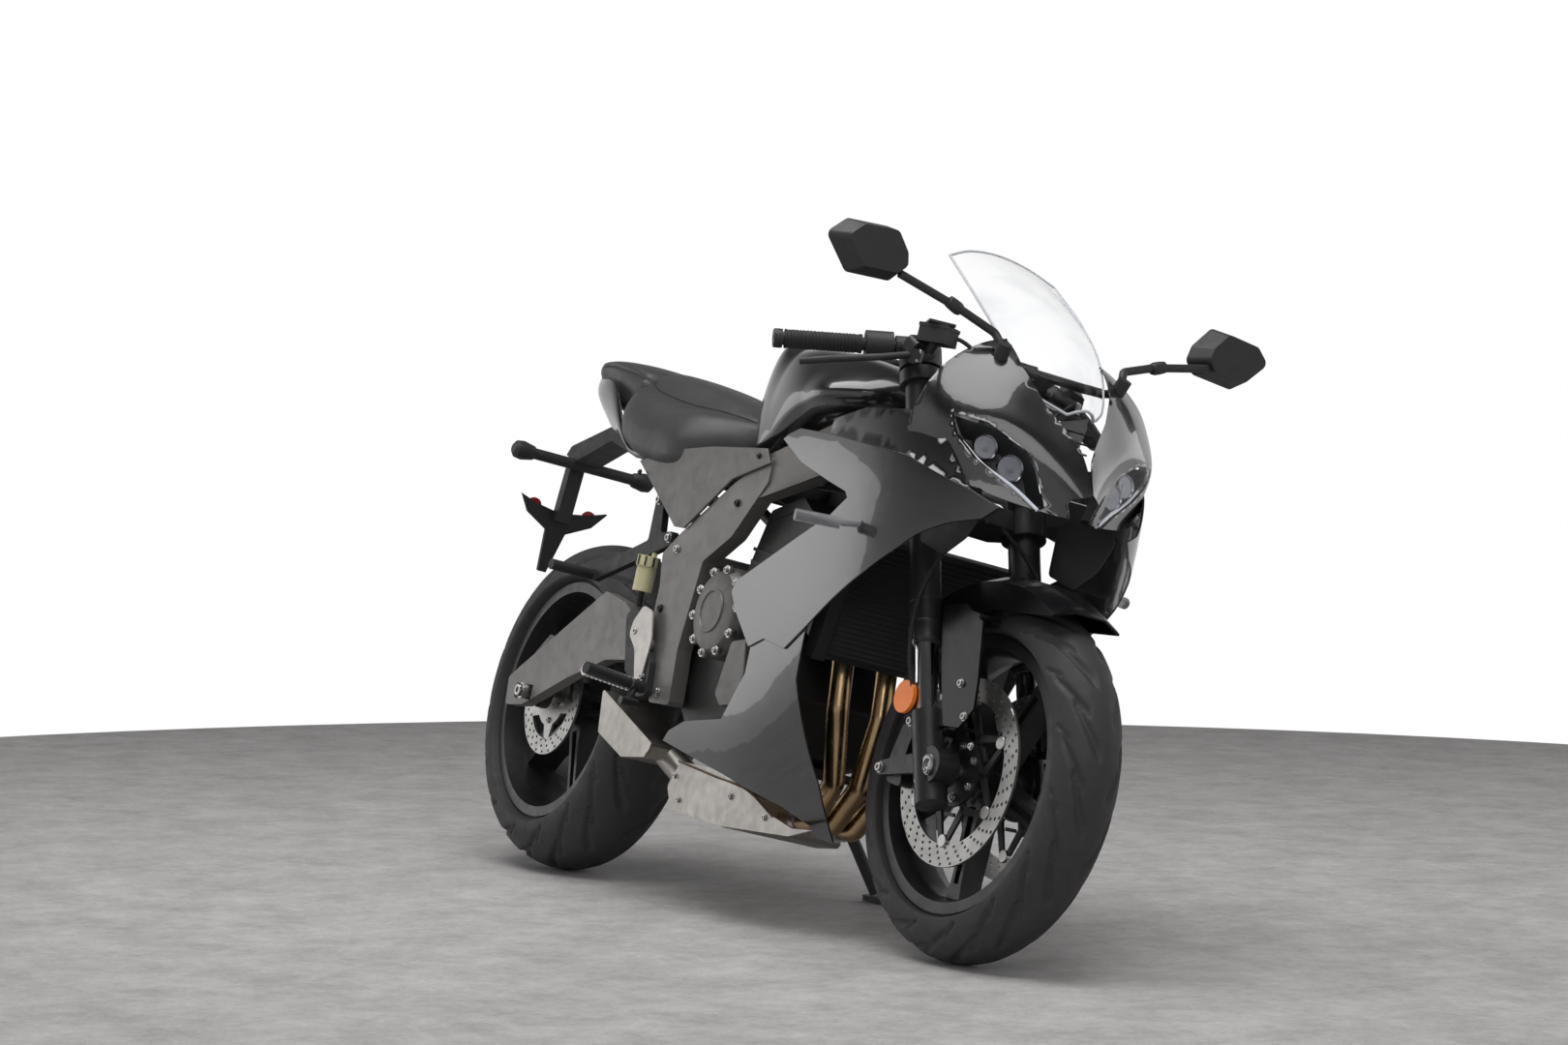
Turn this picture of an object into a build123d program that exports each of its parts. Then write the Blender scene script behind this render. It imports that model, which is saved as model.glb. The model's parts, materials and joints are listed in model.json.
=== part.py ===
from build123d import *
from math import atan2, cos, degrees, radians, sin
import os

# A sport motorcycle, drawn upright with its steering straight, then leaned on its side stand.
# x runs forward from mid-wheelbase, y to the rider's left, z up from the ground.

# Chassis layout
wheelbase = 1425
rake = 23.8
trail = 82
front_radius = 300
rear_radius = 315
lean = 13.9             # as it parks on the stand, towards +y
parked_steer = 2.6      # handlebar turned a little to the left
wall = 3.5              # moulded panels
running_gap = 6.0       # between what turns and what stands still

# Wheels and brakes
rim_radius = 222
rim_lip = 8
rim_wall = 5
rim_edge = 6
bead_fit = 0.3
tyre_wall = 9
crown_share = 0.72
spokes = 5
front_rim_width = 98
rear_rim_width = 150
front_tyre_width = 120
rear_tyre_width = 180
front_disc_radius = 155
front_disc_y = 62
front_disc_thick = 4.5
rear_disc_radius = 110
rear_disc_y = 82
rear_disc_thick = 5
bobbins = 6
bobbin_circle = 106
front_axle_radius = 12.5
front_axle_bore = 8
rear_axle_radius = 14
sprocket_radius = 103
sprocket_y = 104
sprocket_thick = 6
chain_half = 9

# Front fork, along and ahead of the steering axis
leg_spacing = 105
leg_ahead = 22
slider_radius = 20.5
outer_radius = 27
outer_low = 535
outer_high = 1062
foot_high = 408
lower_yoke = 790
upper_yoke = 1012
clip_on = 1050

# Frame, engine and rear suspension
head_radius = 30
stem_radius = 15
pivot = (-234, 431)
pivot_radius = 11
frame_half = 124
frame_thick = 30
engine_half = 112
engine_left = 88
arm_half = 118
arm_thick = 24
pivot_half = 122
rail_wide = 110
rail_narrow = 70
rail_radius = 12
rear_bar = (-680, 851)   # cross rod that carries the pillion seat and the plate hanger
crank = (-24, 500)
countershaft = (-158, 440)
shaft_radius = 11.7

# Body panels
side_stations = (-120, 60, 240, 420, 600, 780)
side_heights = (150, 300, 450, 600, 740, 860)
side_halves = ((140, 165, 180, 190, 190, 180),
               (135, 176, 198, 210, 210, 195),
               (118, 178, 204, 220, 222, 208),
               (74, 160, 208, 230, 233, 222),
               (50, 130, 200, 226, 230, 214),
               (30, 60, 90, 105, 112, 110))
nose_table = (
    # x, y, z from the ridge down to the lower edge, rear edge first
    ((640, 60, 1015), (634, 122, 1000), (634, 212, 925), (614, 227, 862), (602, 223, 795)),
    ((700, 55, 960), (699, 113, 938), (692, 193, 866), (682, 202, 824), (668, 202, 778)),
    ((748, 38, 905), (745, 84, 882), (730, 140, 851), (718, 155, 798), (721, 150, 750)),
    ((790, 14, 850), (783, 50, 838), (769, 82, 818), (773, 75, 776), (782, 63, 734)),
    ((836, 1, 775), (830, 14, 768), (816, 28, 758), (814, 28, 745), (812, 24, 731)),
)
tank_table = (
    # x, then half width and height of the top edge, shoulder, waist and base
    (-150, (40, 888), (62, 862), (66, 805), (48, 775)),
    (-100, (75, 990), (104, 955), (114, 850), (95, 775)),
    (0, (88, 1000), (130, 960), (148, 875), (118, 805)),
    (120, (85, 992), (142, 950), (165, 895), (130, 855)),
    (230, (72, 970), (128, 940), (158, 905), (122, 876)),
    (285, (58, 948), (98, 932), (110, 912), (88, 890)),
)
rider_table = (
    (-165, (35, 868), (62, 858), (66, 822), (48, 722.9)),
    (-260, (85, 876), (122, 858), (132, 805), (112, 749.9)),
    (-380, (100, 872), (138, 852), (140, 815), (118, 783.9)),
    (-500, (100, 885), (132, 868), (134, 842), (112, 817.9)),
    (-600, (85, 925), (108, 912), (112, 880), (92, 846.3)),
)
pillion_table = (
    (-604, (66, 958), (90, 940), (92, 905), (76, 850.5)),
    (-700, (76, 978), (94, 962), (94, 925), (72, 873.5)),
    (-800, (66, 986), (78, 972), (74, 948), (56, 915)),
    (-890, (40, 984), (50, 974), (48, 958), (32, 940)),
)
tail_table = (
    (-470, (128, 804), (130, 790), (118, 772)),
    (-600, (118, 842), (122, 832), (106, 818)),
    (-700, (103, 925), (108, 900), (90, 846)),
    (-770, (90, 938), (94, 915), (70, 872)),
    (-825, (72, 944), (74, 926), (54, 900)),
)
screen_table = (
    # edge x, half width and z, then x and z at the middle
    (752, 26, 900, 768, 912),
    (704, 70, 926, 724, 956),
    (629, 100, 1006, 645, 1032),
    (526, 111, 1086, 540, 1110),
    (423, 108, 1152, 398, 1180),
)
lamp_outline = ((687, -197, 862), (723, -145, 857), (763, -90, 823), (774, -74, 802), (788, -54, 739),
                (781, -64, 731), (716, -155, 796), (696, -184, 829))
mirror_sections = (
    # x of the section, then its outline in y and z
    (588, ((-290, 1072), (-296, 1098), (-328, 1137), (-408, 1130), (-441, 1098), (-392, 1045), (-309, 1051))),
    (636, ((-306, 1076), (-311, 1097), (-336, 1127), (-398, 1121), (-424, 1097), (-385, 1055), (-321, 1060))),
)
dash_place = (512, 0, 962)
dash_tilt = 25
dash_thick = 16
stand_pivot = (-70, 138, 300)
stand_axis = (0, 0.862, 0.506)
foot_ahead = 0
stand_travel = 105
foot_reach = 288
guard_ahead = 31
guard_behind = 40
guard_half = 74
guard_stay = 106         # inner face of the stays beside the fork
guard_edge = 566
seat_gap = 0.3          # between a piece and what carries it
post_radius = 8
stand_bolt = 8
stand_eye = 20
stand_eye_half = 12
stand_plate = 8
flange_radius = 48
flange_thick = 8
caliper_half = 26

front_axle = (wheelbase / 2, front_radius)
rear_axle = (-wheelbase / 2, rear_radius)
steer_foot = wheelbase / 2 + trail
tilt = radians(rake)

parts = {}
steered = set()


def keep(name, *solids, turns=False):
    """Files solids under a piece's name, and notes which ones turn with the handlebar."""
    parts.setdefault(name, []).extend(solids)
    if turns:
        steered.add(name)


def flip(shape):
    """The same shape on the motorcycle's other side."""
    return mirror(shape, about=Plane.XZ)


def face(outline, corner=0):
    """Flat outline with rounded corners."""
    if corner:
        return make_face(FilletPolyline(*outline, radius=corner, close=True).edges())
    return make_face(Polyline(*outline, close=True).edges())


def slab(outline, low_y, high_y, corner=0):
    """Side view outline in x and z, made solid between two y values."""
    return Pos(0, high_y, 0) * extrude(Plane.XZ * face(outline, corner), amount=high_y - low_y)


def turned(outline, corner=0):
    """Outline of y and radius, turned round the y axis."""
    return revolve(Plane.YZ * face(outline, corner), Axis.Y)


def rod(start, end, radius, bore=0):
    """Straight round bar or pipe between two points."""
    length = Vector(*end) - Vector(*start)
    section = Circle(radius) - Circle(bore) if bore else Circle(radius)
    return extrude(Plane(origin=start, z_dir=length) * section, amount=length.length)


def tube(points, radius, bend, bore=0):
    """Bent bar or pipe through points, with tangent arcs at its corners."""
    path = FilletPolyline(*points, radius=bend)
    section = Circle(radius) - Circle(bore) if bore else Circle(radius)
    return sweep(Plane(origin=path @ 0, z_dir=path % 0) * section, path=path)


def block(centre, size, corner=0):
    """Box with its upright edges rounded."""
    body = Box(*size)
    if corner:
        body = fillet(body.edges().filter_by(Axis.Z), corner)
    return Pos(*centre) * body


def leg_point(along, ahead, y):
    """Point given along the steering axis and ahead of it."""
    return (steer_foot - along * sin(tilt) + ahead * cos(tilt), y, along * cos(tilt) + ahead * sin(tilt))


def lamp_prism(gap):
    """Prism through the headlamp's outline on the rider's right, drawn in by a gap."""
    outline = face([(x, z) for x, y, z in lamp_outline])
    if gap:
        outline = offset(outline, amount=-gap)
    return extrude(Plane.XZ * outline, amount=260)


def ring(x, half):
    """Cross-section at x, mirrored from its half outline of y and z."""
    outline = list(half) + [(-y, z) for y, z in reversed(half)]
    return Plane(origin=(x, 0, 0), x_dir=(0, 1, 0), z_dir=(1, 0, 0)) * face(outline, 14)


def skin(rows, depth):
    """Smooth moulded panel through rows of points, thickened inwards."""
    surface = Face.make_surface_from_array_of_points([[Vector(*p) for p in row] for row in rows])
    return Solid.thicken(surface, depth)


def short_of(rows, beyond=60):
    """What ends a post just inside a panel: the panel and the seat's gap, and all that lies outside."""
    return skin(rows, beyond) + skin(rows, -wall - seat_gap)


def clear_of(rows, beyond=60):
    """What ends a post just outside a panel: the seat's gap, the panel and all that lies inside."""
    return skin(rows, seat_gap) + skin(rows, -beyond)


# Axle place along and ahead of the steering axis
axle_along = (steer_foot - front_axle[0]) * sin(tilt) + front_axle[1] * cos(tilt)
axle_ahead = (front_axle[0] - steer_foot) * cos(tilt) + front_axle[1] * sin(tilt)


def tyre(width, radius, rim_width):
    """Hollow tyre on its rim: crown arc, side walls and beads."""
    seat = rim_radius - rim_lip + bead_fit
    half = width / 2
    bead = rim_width / 2 - rim_wall - bead_fit
    high = rim_radius + rim_edge + 3
    belly = radius - (radius - seat) * crown_share
    inner = half - tyre_wall
    inner_bead = bead - tyre_wall - 6
    crown = EllipticalCenterArc((0, belly), half, radius - belly, start_angle=0, arc_size=180)
    cords = EllipticalCenterArc((0, belly), inner, radius - belly - tyre_wall, start_angle=0, arc_size=180)
    lines = [crown, cords]
    for side in (-1, 1):
        lines.append(Spline((side * half, belly), (side * bead, high), tangents=((0, -1), (-side, -0.4))))
        lines.append(Spline((side * inner, belly), (side * inner_bead, high), tangents=((0, -1), (-side, -0.4))))
        lines.append(Polyline((side * bead, high), (side * bead, seat), (side * inner_bead, seat),
                              (side * inner_bead, high)))
    return revolve(Plane.YZ * make_face([edge for line in lines for edge in line.edges()]), Axis.Y)


def rim(width, hub_half, hub_radius, bore, twist):
    """Cast wheel: barrel with lips, flanged hub for the discs, and tapered hollow spokes."""
    half = width / 2
    seat = rim_radius - rim_lip
    edge = rim_radius + rim_edge
    barrel = turned([(-half, seat - rim_wall), (-half, edge), (rim_wall - half, edge),
                     (rim_wall - half, seat), (half - rim_wall, seat), (half - rim_wall, edge),
                     (half, edge), (half, seat - rim_wall), (half * 0.4, seat - 3 * rim_wall),
                     (-half * 0.4, seat - 3 * rim_wall)])
    inner = hub_half - flange_thick
    hub = turned([(-hub_half, bore), (-hub_half, flange_radius), (-inner, flange_radius), (-inner, hub_radius),
                  (inner, hub_radius), (inner, flange_radius), (hub_half, flange_radius), (hub_half, bore)])
    reach = seat - 2 * rim_wall
    blade = slab([(hub_radius - 8, -24), (hub_radius + 40, -17), (reach - 40, -14), (reach, -19),
                  (reach, 19), (reach - 40, 14), (hub_radius + 40, 17), (hub_radius - 8, 24)], -half * 0.42, half * 0.42)
    hollow = slab([(hub_radius + 14, -8), (reach - 30, -6), (reach - 30, 6), (hub_radius + 14, 8)], half * 0.2, half)
    blade = blade - hollow - flip(hollow)
    wheel = barrel + hub
    for n in range(spokes):
        wheel += Rot(0, twist + n * 360 / spokes, 0) * blade
    return wheel


def disc(radius, inner, thick, holes, circle):
    """Brake rotor ring with rows of drilled holes."""
    ring = turned([(-thick / 2, inner), (-thick / 2, radius), (thick / 2, radius), (thick / 2, inner)])
    drill = Rot(90, 0, 0) * Cylinder(4, 4 * thick)
    for n in range(holes):
        ring -= Rot(0, n * 360 / holes, 0) * Pos(circle, 0, 0) * drill
    return ring


def at(axle, shape):
    return Pos(axle[0], 0, axle[1]) * shape


def build_front_wheel():
    keep("front_tyre", at(front_axle, tyre(front_tyre_width, front_radius, front_rim_width)), turns=True)
    keep("front_rim", at(front_axle, rim(front_rim_width, front_disc_y - 2.5 - seat_gap, 34, front_axle_radius + 0.05, 18)), turns=True)
    inner = bobbin_circle + 12
    for side in (-1, 1):
        ring = disc(front_disc_radius, inner, front_disc_thick, 12, 142)
        carrier = turned([(-2.5, 30), (-2.5, 56), (2.5, 56), (2.5, 30)])
        for n in range(bobbins):
            turn = Rot(0, 30 + n * 360 / bobbins, 0)
            carrier += turn * slab([(50, -16), (bobbin_circle + 4, -5), (bobbin_circle + 4, 5), (50, 16)], -2.5, 2.5)
            carrier += turn * Pos(bobbin_circle + 6, 0, 0) * (Rot(90, 0, 0) * Cylinder(9, 8))
        ring = ring + carrier
        keep("front_discs", at(front_axle, Pos(0, side * front_disc_y, 0) * ring), turns=True)


def build_rear_wheel():
    keep("rear_tyre", at(rear_axle, tyre(rear_tyre_width, rear_radius, rear_rim_width)))
    keep("rear_rim", at(rear_axle, rim(rear_rim_width, 66, 42, rear_axle_radius + 0.05, 0)))
    rotor = disc(rear_disc_radius, 52, rear_disc_thick, 12, 92)
    rotor += turned([(-2.5, 34), (-2.5, 54), (2.5, 54), (2.5, 34)])
    spacer = turned([(rear_disc_thick / 2, 34), (rear_disc_thick / 2, 44), (rear_disc_y - 66, 44), (rear_disc_y - 66, 34)])
    keep("rear_disc", at(rear_axle, Pos(0, -rear_disc_y, 0) * (rotor + spacer)))
    half = sprocket_thick / 2
    wheel = turned([(-half, 34), (-half, sprocket_radius), (half, sprocket_radius), (half, 34)])
    for n in range(5):
        wheel -= Rot(0, n * 72, 0) * Pos(72, 0, 0) * (Rot(90, 0, 0) * Cylinder(14, 4 * sprocket_thick))
    carrier = turned([(66.0 - sprocket_y, 30), (66.0 - sprocket_y, 56), (-half, 56), (-half, 30)])
    keep("rear_sprocket", at(rear_axle, Pos(0, sprocket_y, 0) * (wheel + carrier)))


def build_fork():
    for side in (-1, 1):
        y = side * leg_spacing
        keep("fork_tubes", rod(leg_point(outer_low, leg_ahead, y), leg_point(outer_high, leg_ahead, y),
                               outer_radius, slider_radius + 0.05), turns=True)
        keep("fork_sliders", rod(leg_point(foot_high - 80, leg_ahead, y), leg_point(outer_low + 300, leg_ahead, y),
                                 slider_radius), turns=True)
        clamp = rod(leg_point(axle_along - 60, leg_ahead + 4, y), leg_point(foot_high, leg_ahead, y), outer_radius)
        clamp += rod((front_axle[0], y - side * 22, front_axle[1]), (front_axle[0], y + side * 20, front_axle[1]), 30)
        low, high = sorted((side * (front_disc_y + caliper_half + seat_gap), side * 99))
        for x, z, reach in ((542, 284, 12), (600, 366, 11)):
            arm = make_hull([(Pos(700, 312) * Circle(20)).edge(), (Pos(x, z) * Circle(reach)).edge()])
            clamp += Pos(0, high, 0) * extrude(Plane.XZ * arm, amount=high - low)
        low, high = sorted((side * 92, side * (guard_stay - seat_gap)))
        clamp += slab([(664, 400), (690, 412), (716, 420), (748, 396), (738, 372), (672, 362)], low, high, 5)
        clamp -= rod(leg_point(foot_high - 90, leg_ahead, y), leg_point(foot_high + 60, leg_ahead, y),
                     slider_radius + 0.05)
        clamp -= rod((front_axle[0], y - side * 60, front_axle[1]), (front_axle[0], y + side * 60, front_axle[1]),
                     front_axle_radius + 0.05)
        keep("fork_feet", clamp, turns=True)
        plate = rod(leg_point(lower_yoke - 22, leg_ahead, y), leg_point(lower_yoke + 22, leg_ahead, y), outer_radius + 11)
        top = rod(leg_point(upper_yoke - 12, leg_ahead, y), leg_point(upper_yoke + 12, leg_ahead, y), outer_radius + 9)
        if side < 0:
            low_yoke, high_yoke = plate, top
        else:
            low_yoke, high_yoke = low_yoke + plate, high_yoke + top
    across = [(-leg_spacing, 5), (-60, -20), (60, -20), (leg_spacing, 5), (leg_spacing, 40), (0, 44), (-leg_spacing, 40)]
    plane = Plane(origin=leg_point(lower_yoke - 18, 0, 0), x_dir=(0, 1, 0), z_dir=leg_axis)
    low_yoke += extrude(plane * face([(a, -b) for a, b in across]), amount=36)
    low_yoke += rod(leg_point(lower_yoke, 0, 0), leg_point(upper_yoke, 0, 0), stem_radius)
    plane = Plane(origin=leg_point(upper_yoke - 9, 0, 0), x_dir=(0, 1, 0), z_dir=leg_axis)
    high_yoke += extrude(plane * face([(a, -b) for a, b in across]), amount=18)
    yokes = low_yoke + high_yoke
    for side in (-1, 1):
        y = side * leg_spacing
        yokes -= rod(leg_point(outer_low, leg_ahead, y), leg_point(outer_high + 20, leg_ahead, y), outer_radius + 0.05)
    keep("yokes", yokes, turns=True)
    end = leg_spacing + 21
    keep("front_axle", rod((front_axle[0], -end, front_axle[1]), (front_axle[0], end, front_axle[1]),
                           front_axle_radius, front_axle_bore), turns=True)


leg_axis = (-sin(tilt), 0, cos(tilt))


def build_handlebars():
    """Clip-on bars with switch housings and levers, and the brake's master cylinder on the right."""
    for side in (-1, 1):
        y = side * leg_spacing
        root = Vector(*leg_point(clip_on, leg_ahead, y))
        clamp = rod(leg_point(clip_on - 20, leg_ahead, y), leg_point(clip_on + 18, leg_ahead, y), outer_radius + 9)
        start = root + Vector(18, side * 30, 14)
        end = Vector(308, side * 345, 942)
        along = (end - start).normalized()
        clamp += rod(start - along * 14, end - along * 14, 11)
        grip_in = start + along * ((end - start).length - 148)
        clamp += rod(grip_in - along * 52, grip_in - along * 6, 24)
        clamp += rod(end - along * 14, end, 16)
        perch = start + along * 20
        lever_root = Vector(486, side * 160, 959)
        clamp += rod(perch - along * 12, perch + along * 12, 18)
        clamp += rod(perch, Vector(462, side * 150, 972), 12)
        clamp += rod(Vector(452, side * 132, 976), Vector(478, side * 178, 958), 13)
        clamp += tube([lever_root - Vector(14, side * -10, -4), Vector(455, side * 222, 944),
                       Vector(415, side * 290, 922), Vector(381, side * 330, 907)], 6, 30)
        if side < 0:
            pot = Box(52, 44, 26) + Pos(0, 0, 15) * Box(54, 46, 6)
            clamp += Pos(492, -148, 999) * (Rot(0, 0, 26) * pot)
            clamp += rod((478, -150, 972), (490, -148, 996), 9)
        clamp -= rod(leg_point(clip_on - 40, leg_ahead, y), leg_point(clip_on + 40, leg_ahead, y), outer_radius + 0.05)
        keep("handlebars", clamp, turns=True)
        grip = rod(grip_in, end - along * 16, 16.5, 11.05)
        keep("grips", grip, turns=True)


def build_front_end_trim():
    outer = front_radius + 30
    inner = front_radius + 20
    edge = guard_half - 8
    section = [(-guard_half, inner - 60), (2 - edge - 4, inner - 6), (-30, outer), (30, outer), (edge + 2, inner - 6),
               (guard_half, inner - 60), (guard_half - wall, inner - 60), (edge, inner - 10), (28, outer - wall),
               (-28, outer - wall), (-edge, inner - 10), (wall - guard_half, inner - 60)]
    ring = revolve(Plane.YZ * face(section), Axis.Y, guard_ahead + guard_behind)
    guard = at(front_axle, Rot(0, -guard_behind, 0) * ring)
    guard -= block((front_axle[0] + 200, 0, guard_edge - 100), (400, 300, 200))
    guard -= block((front_axle[0] - 200, 0, guard_edge - 136), (400, 300, 200))
    for side in (-1, 1):
        low, high = sorted((side * guard_stay, side * (guard_stay + 5)))
        stay = slab([(636, 560), (695, 566), (752, 540), (775, 444), (781, 399), (751, 366), (708, 366), (676, 436),
                     (640, 530)], low, high, 7)
        low, high = sorted((side * (guard_half - 6), side * (guard_stay + 5)))
        stay += slab([(672, 562), (740, 552), (740, 546), (672, 556)], low, high)
        guard += stay
    keep("mudguard", guard, turns=True)
    inside = bobbin_circle + 12 + running_gap
    for side in (-1, 1):
        body = slab([(-168, 0), (-150, 62), (-112, 60), (-126, -2), (-118, -42), (-160, -36)],
                    -caliper_half, caliper_half, 8)
        body -= turned([(-front_disc_thick / 2 - 1, 0), (-front_disc_thick / 2 - 1, front_disc_radius + 3),
                        (front_disc_thick / 2 + 1, front_disc_radius + 3), (front_disc_thick / 2 + 1, 0)])
        body -= turned([(-60, 0), (-60, inside), (60, inside), (60, 0)])
        keep("calipers", Pos(front_axle[0], side * front_disc_y, front_axle[1]) * body, turns=True)
        y = side * leg_spacing
        amber = rod((615, side * 128, 401), (615, side * 135, 401), 27)
        amber += rod((630, side * 112, 401), (630, side * 129, 401), 6)
        amber -= rod(leg_point(330, leg_ahead, y), leg_point(500, leg_ahead, y), slider_radius + seat_gap)
        keep("reflectors", amber, turns=True)


def build_frame():
    outline = [(-268, 600), (-215, 640), (-60, 735), (60, 790), (60, 740), (-28, 640), (-112, 592), (-134, 430),
               (-122, 330), (-196, 330), (-252, 431), (-252, 540)]
    beams = None
    outer = frame_half + frame_thick
    for side in (-1, 1):
        low, high = sorted((side * frame_half, side * outer))
        plate = slab(outline, low, high, 8)
        front = loft([Plane(origin=(20, side * (frame_half + outer) / 2, 745), x_dir=(0, 1, 0), z_dir=(1, 0, 0))
                      * Rectangle(frame_thick - 1, 76),
                      Plane(origin=(220, side * 118, 810), x_dir=(0, 1, 0), z_dir=(1, 0, 0.2)) * Rectangle(34, 86),
                      Plane(origin=leg_point(890, -8, side * 24), x_dir=(0, 1, 0), z_dir=(1, 0, 0.2)) * Rectangle(30, 110)],
                     ruled=True)
        side_beam = plate + front
        beams = side_beam if beams is None else beams + side_beam
    beams += rod(leg_point(lower_yoke + 40, 0, 0), leg_point(upper_yoke - 32, 0, 0), head_radius)
    beams += rod((pivot[0] - 28, -frame_half - 5, 600), (pivot[0] - 28, frame_half + 5, 600), 20)
    beams += rod((-170, -frame_half - 5, 350), (-170, frame_half + 5, 350), 14)
    post = rod((205, 118, 805), (258, 250, 795), post_radius) - flip(short_of(side_skin(main_lift)))
    beams += post + flip(post)
    hinge = Vector(*stand_pivot)
    swing = Vector(*stand_axis)
    inboard = hinge - swing * (stand_eye_half + seat_gap + 5)
    plane = Plane(origin=inboard, x_dir=(1, 0, 0), z_dir=-swing)
    reach = -170 - hinge.X
    for low, high in (((0, 0, stand_eye), (reach, 40, 13)), ((reach, 40, 13), (reach, 60, 13))):
        lug = make_hull([(Pos(x, y) * Circle(r)).edge() for x, y, r in (low, high)])
        beams += extrude(plane * lug, amount=stand_plate)
    beams += rod(hinge - swing * (stand_eye_half + seat_gap), inboard, stand_eye - 4)
    beams += rod(inboard, hinge + swing * (stand_eye_half + 6), stand_bolt)
    beams += rod(hinge + swing * (stand_eye_half + seat_gap), hinge + swing * (stand_eye_half + 7), 13)
    beams -= rod(leg_point(lower_yoke, 0, 0), leg_point(upper_yoke, 0, 0), stem_radius + 1)
    beams -= rod((pivot[0], -200, pivot[1]), (pivot[0], 200, pivot[1]), pivot_radius + 0.05)
    keep("frame", beams)


def build_subframe():
    """Rear tube frame under the seats, its cross tubes carrying the tail cowl, and the stay for the nose."""
    rails = None
    for side in (-1, 1):
        upper = tube([(-118, side * rail_wide, 676), (-330, side * rail_wide, 757), (-700, side * rail_narrow, 860)],
                     rail_radius, 60)
        lower = tube([(-160, side * rail_wide, 642), (-372, side * rail_wide, 716), (-560, side * 84, 806)], 11, 60)
        pair = upper + lower
        for x, z in ((-122, 678), (-166, 644)):
            pair += rod((x, side * rail_wide, z), (x, side * (frame_half - seat_gap), z), 10)
        rails = pair if rails is None else rails + pair
    for x, z, half, reach in ((-330, 757, rail_wide, 0), (-560, 821, 84, 122.2), (*rear_bar, rail_narrow, 95.2)):
        bar = rod((x, -half, z), (x, half, z), 11)
        if reach:
            bar += rod((x, -reach, z), (x, reach, z), post_radius)
        rails += bar
    keep("subframe", rails)
    arm = slab([leg_flat(880, head_radius + seat_gap), leg_flat(930, head_radius + seat_gap), (520, 905), (548, 925),
                (590, 968), (628, 975), (640, 965), (596, 948), (560, 900)], -20, 20)
    arm += Pos(*dash_place) * (Rot(0, -dash_tilt, 0) * (Pos(dash_thick / 2 + seat_gap + 4, 0, -30) * Box(8, 60, 60)))
    arm += rod((628, -116, 968), (628, 116, 968), post_radius)
    for side in (-1, 1):
        arm += rod((628, side * 110, 968), (661.7, side * 112, 968), 7)
    keep("subframe", arm)


def leg_flat(along, ahead):
    """Leg point seen from the side, as x and z."""
    x, y, z = leg_point(along, ahead, 0)
    return x, z


def tail_rows():
    """Tail cowl's surface on the rider's right."""
    return [[(x, -y, z) for y, z in reversed(half)] for x, *half in tail_table]


def nose_rows():
    """Nose cowl's surface on the rider's right."""
    return [[(x, -y, z) for x, y, z in reversed(around)] for around in nose_table]


def build_engine():
    case = slab([(-118, 470), (-100, 520), (40, 540), (180, 470), (215, 380), (190, 285), (40, 262), (-110, 290),
                 (-118, 380)], -engine_half, engine_left, 14)
    case += rod((countershaft[0], engine_left - 8, countershaft[1]), (countershaft[0], sprocket_y + 8, countershaft[1]),
                shaft_radius)
    case += slab([(-205, 470), (-150, 520), (-60, 520), (-60, 300), (-110, 290), (-150, 330), (-150, 400)],
                 -engine_half, engine_left, 14)
    top = slab([(-60, 513), (10, 700), (120, 725), (250, 640), (286, 560), (286, 490), (250, 475), (180, 513)],
               -engine_half + 6, engine_half - 6, 12)
    keep("engine", case + top)


def build_engine_covers():
    y = engine_half + 0.3
    clutch = turned([(0, 5), (0, 82), (-26, 82), (-46, 70), (-52, 40), (-52, 5)])
    keep("engine_covers", Pos(crank[0], -y, crank[1] + 5) * clutch)
    water = slab([(90, 455), (70, 360), (96, 340), (140, 345), (158, 400), (140, 462)], -y - 62, -y, 12)
    keep("engine_covers", water)
    y = engine_left + 0.3
    left = Pos(50, y, 440) * turned([(0, 5), (0, 70), (30, 66), (42, 50), (44, 5)])
    keep("engine_covers", left)
    sprocket = slab([(-196, 470), (-150, 500), (-60, 470), (-60, 400), (-130, 370), (-190, 385)], y, pivot_half, 14)
    sprocket -= slab([(-240, 520), (-105, 520), (-105, 340), (-240, 340)], y - 1, sprocket_y + 9)
    keep("engine_covers", sprocket)


def build_radiator():
    core = slab([(368, 452), (396, 445), (440, 660), (412, 668)], -165, 165)
    side = [(364, 448), (399, 440), (444, 664), (408, 674)]
    core += slab(side, 165, 188) + slab(side, -188, -165)
    for side in (-1, 1):
        core += rod((286 + seat_gap, side * 45, 548), (395, side * 45, 548), post_radius)
        post = rod((408, 180, 575), (408, 250, 575), post_radius) - flip(short_of(side_skin(main_lift)))
        core += post if side > 0 else flip(post)
    keep("radiator", core)


def build_exhaust():
    """Three header pipes into the silencer under the engine, its side plate, and the outlet on the right."""
    for y in (-90, 0, 90):
        pipe = tube([(286.3, y, 520), (320, y, 520), (342, y * 0.95, 370), (322, y * 0.56, 250),
                     (262, y * 0.48, 178), (178.5, y * 0.48, 178)], 19, 24)
        keep("exhaust_headers", pipe)
    can = slab([(178, 205), (40, 235), (-90, 237), (-120, 190), (-90, 150), (100, 138), (178, 145)], -122, 75, 12)
    can += slab([(-90, 237), (178, 207), (274, 173), (347, 159), (413, 163), (339, 145), (99, 139), (-60, 152)],
                -126, -120)
    can += slab([(-389, 342), (-372, 262), (-264, 225), (-175, 232), (-158, 258)], -150, -58, 5)
    can += rod((-190, -96, 247), (-100, -80, 200), 26)
    can += slab([(-128, 215), (-95, 236), (-164, 336 - seat_gap), (-184, 336 - seat_gap)], -10, 10)
    keep("silencer", can)


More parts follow.
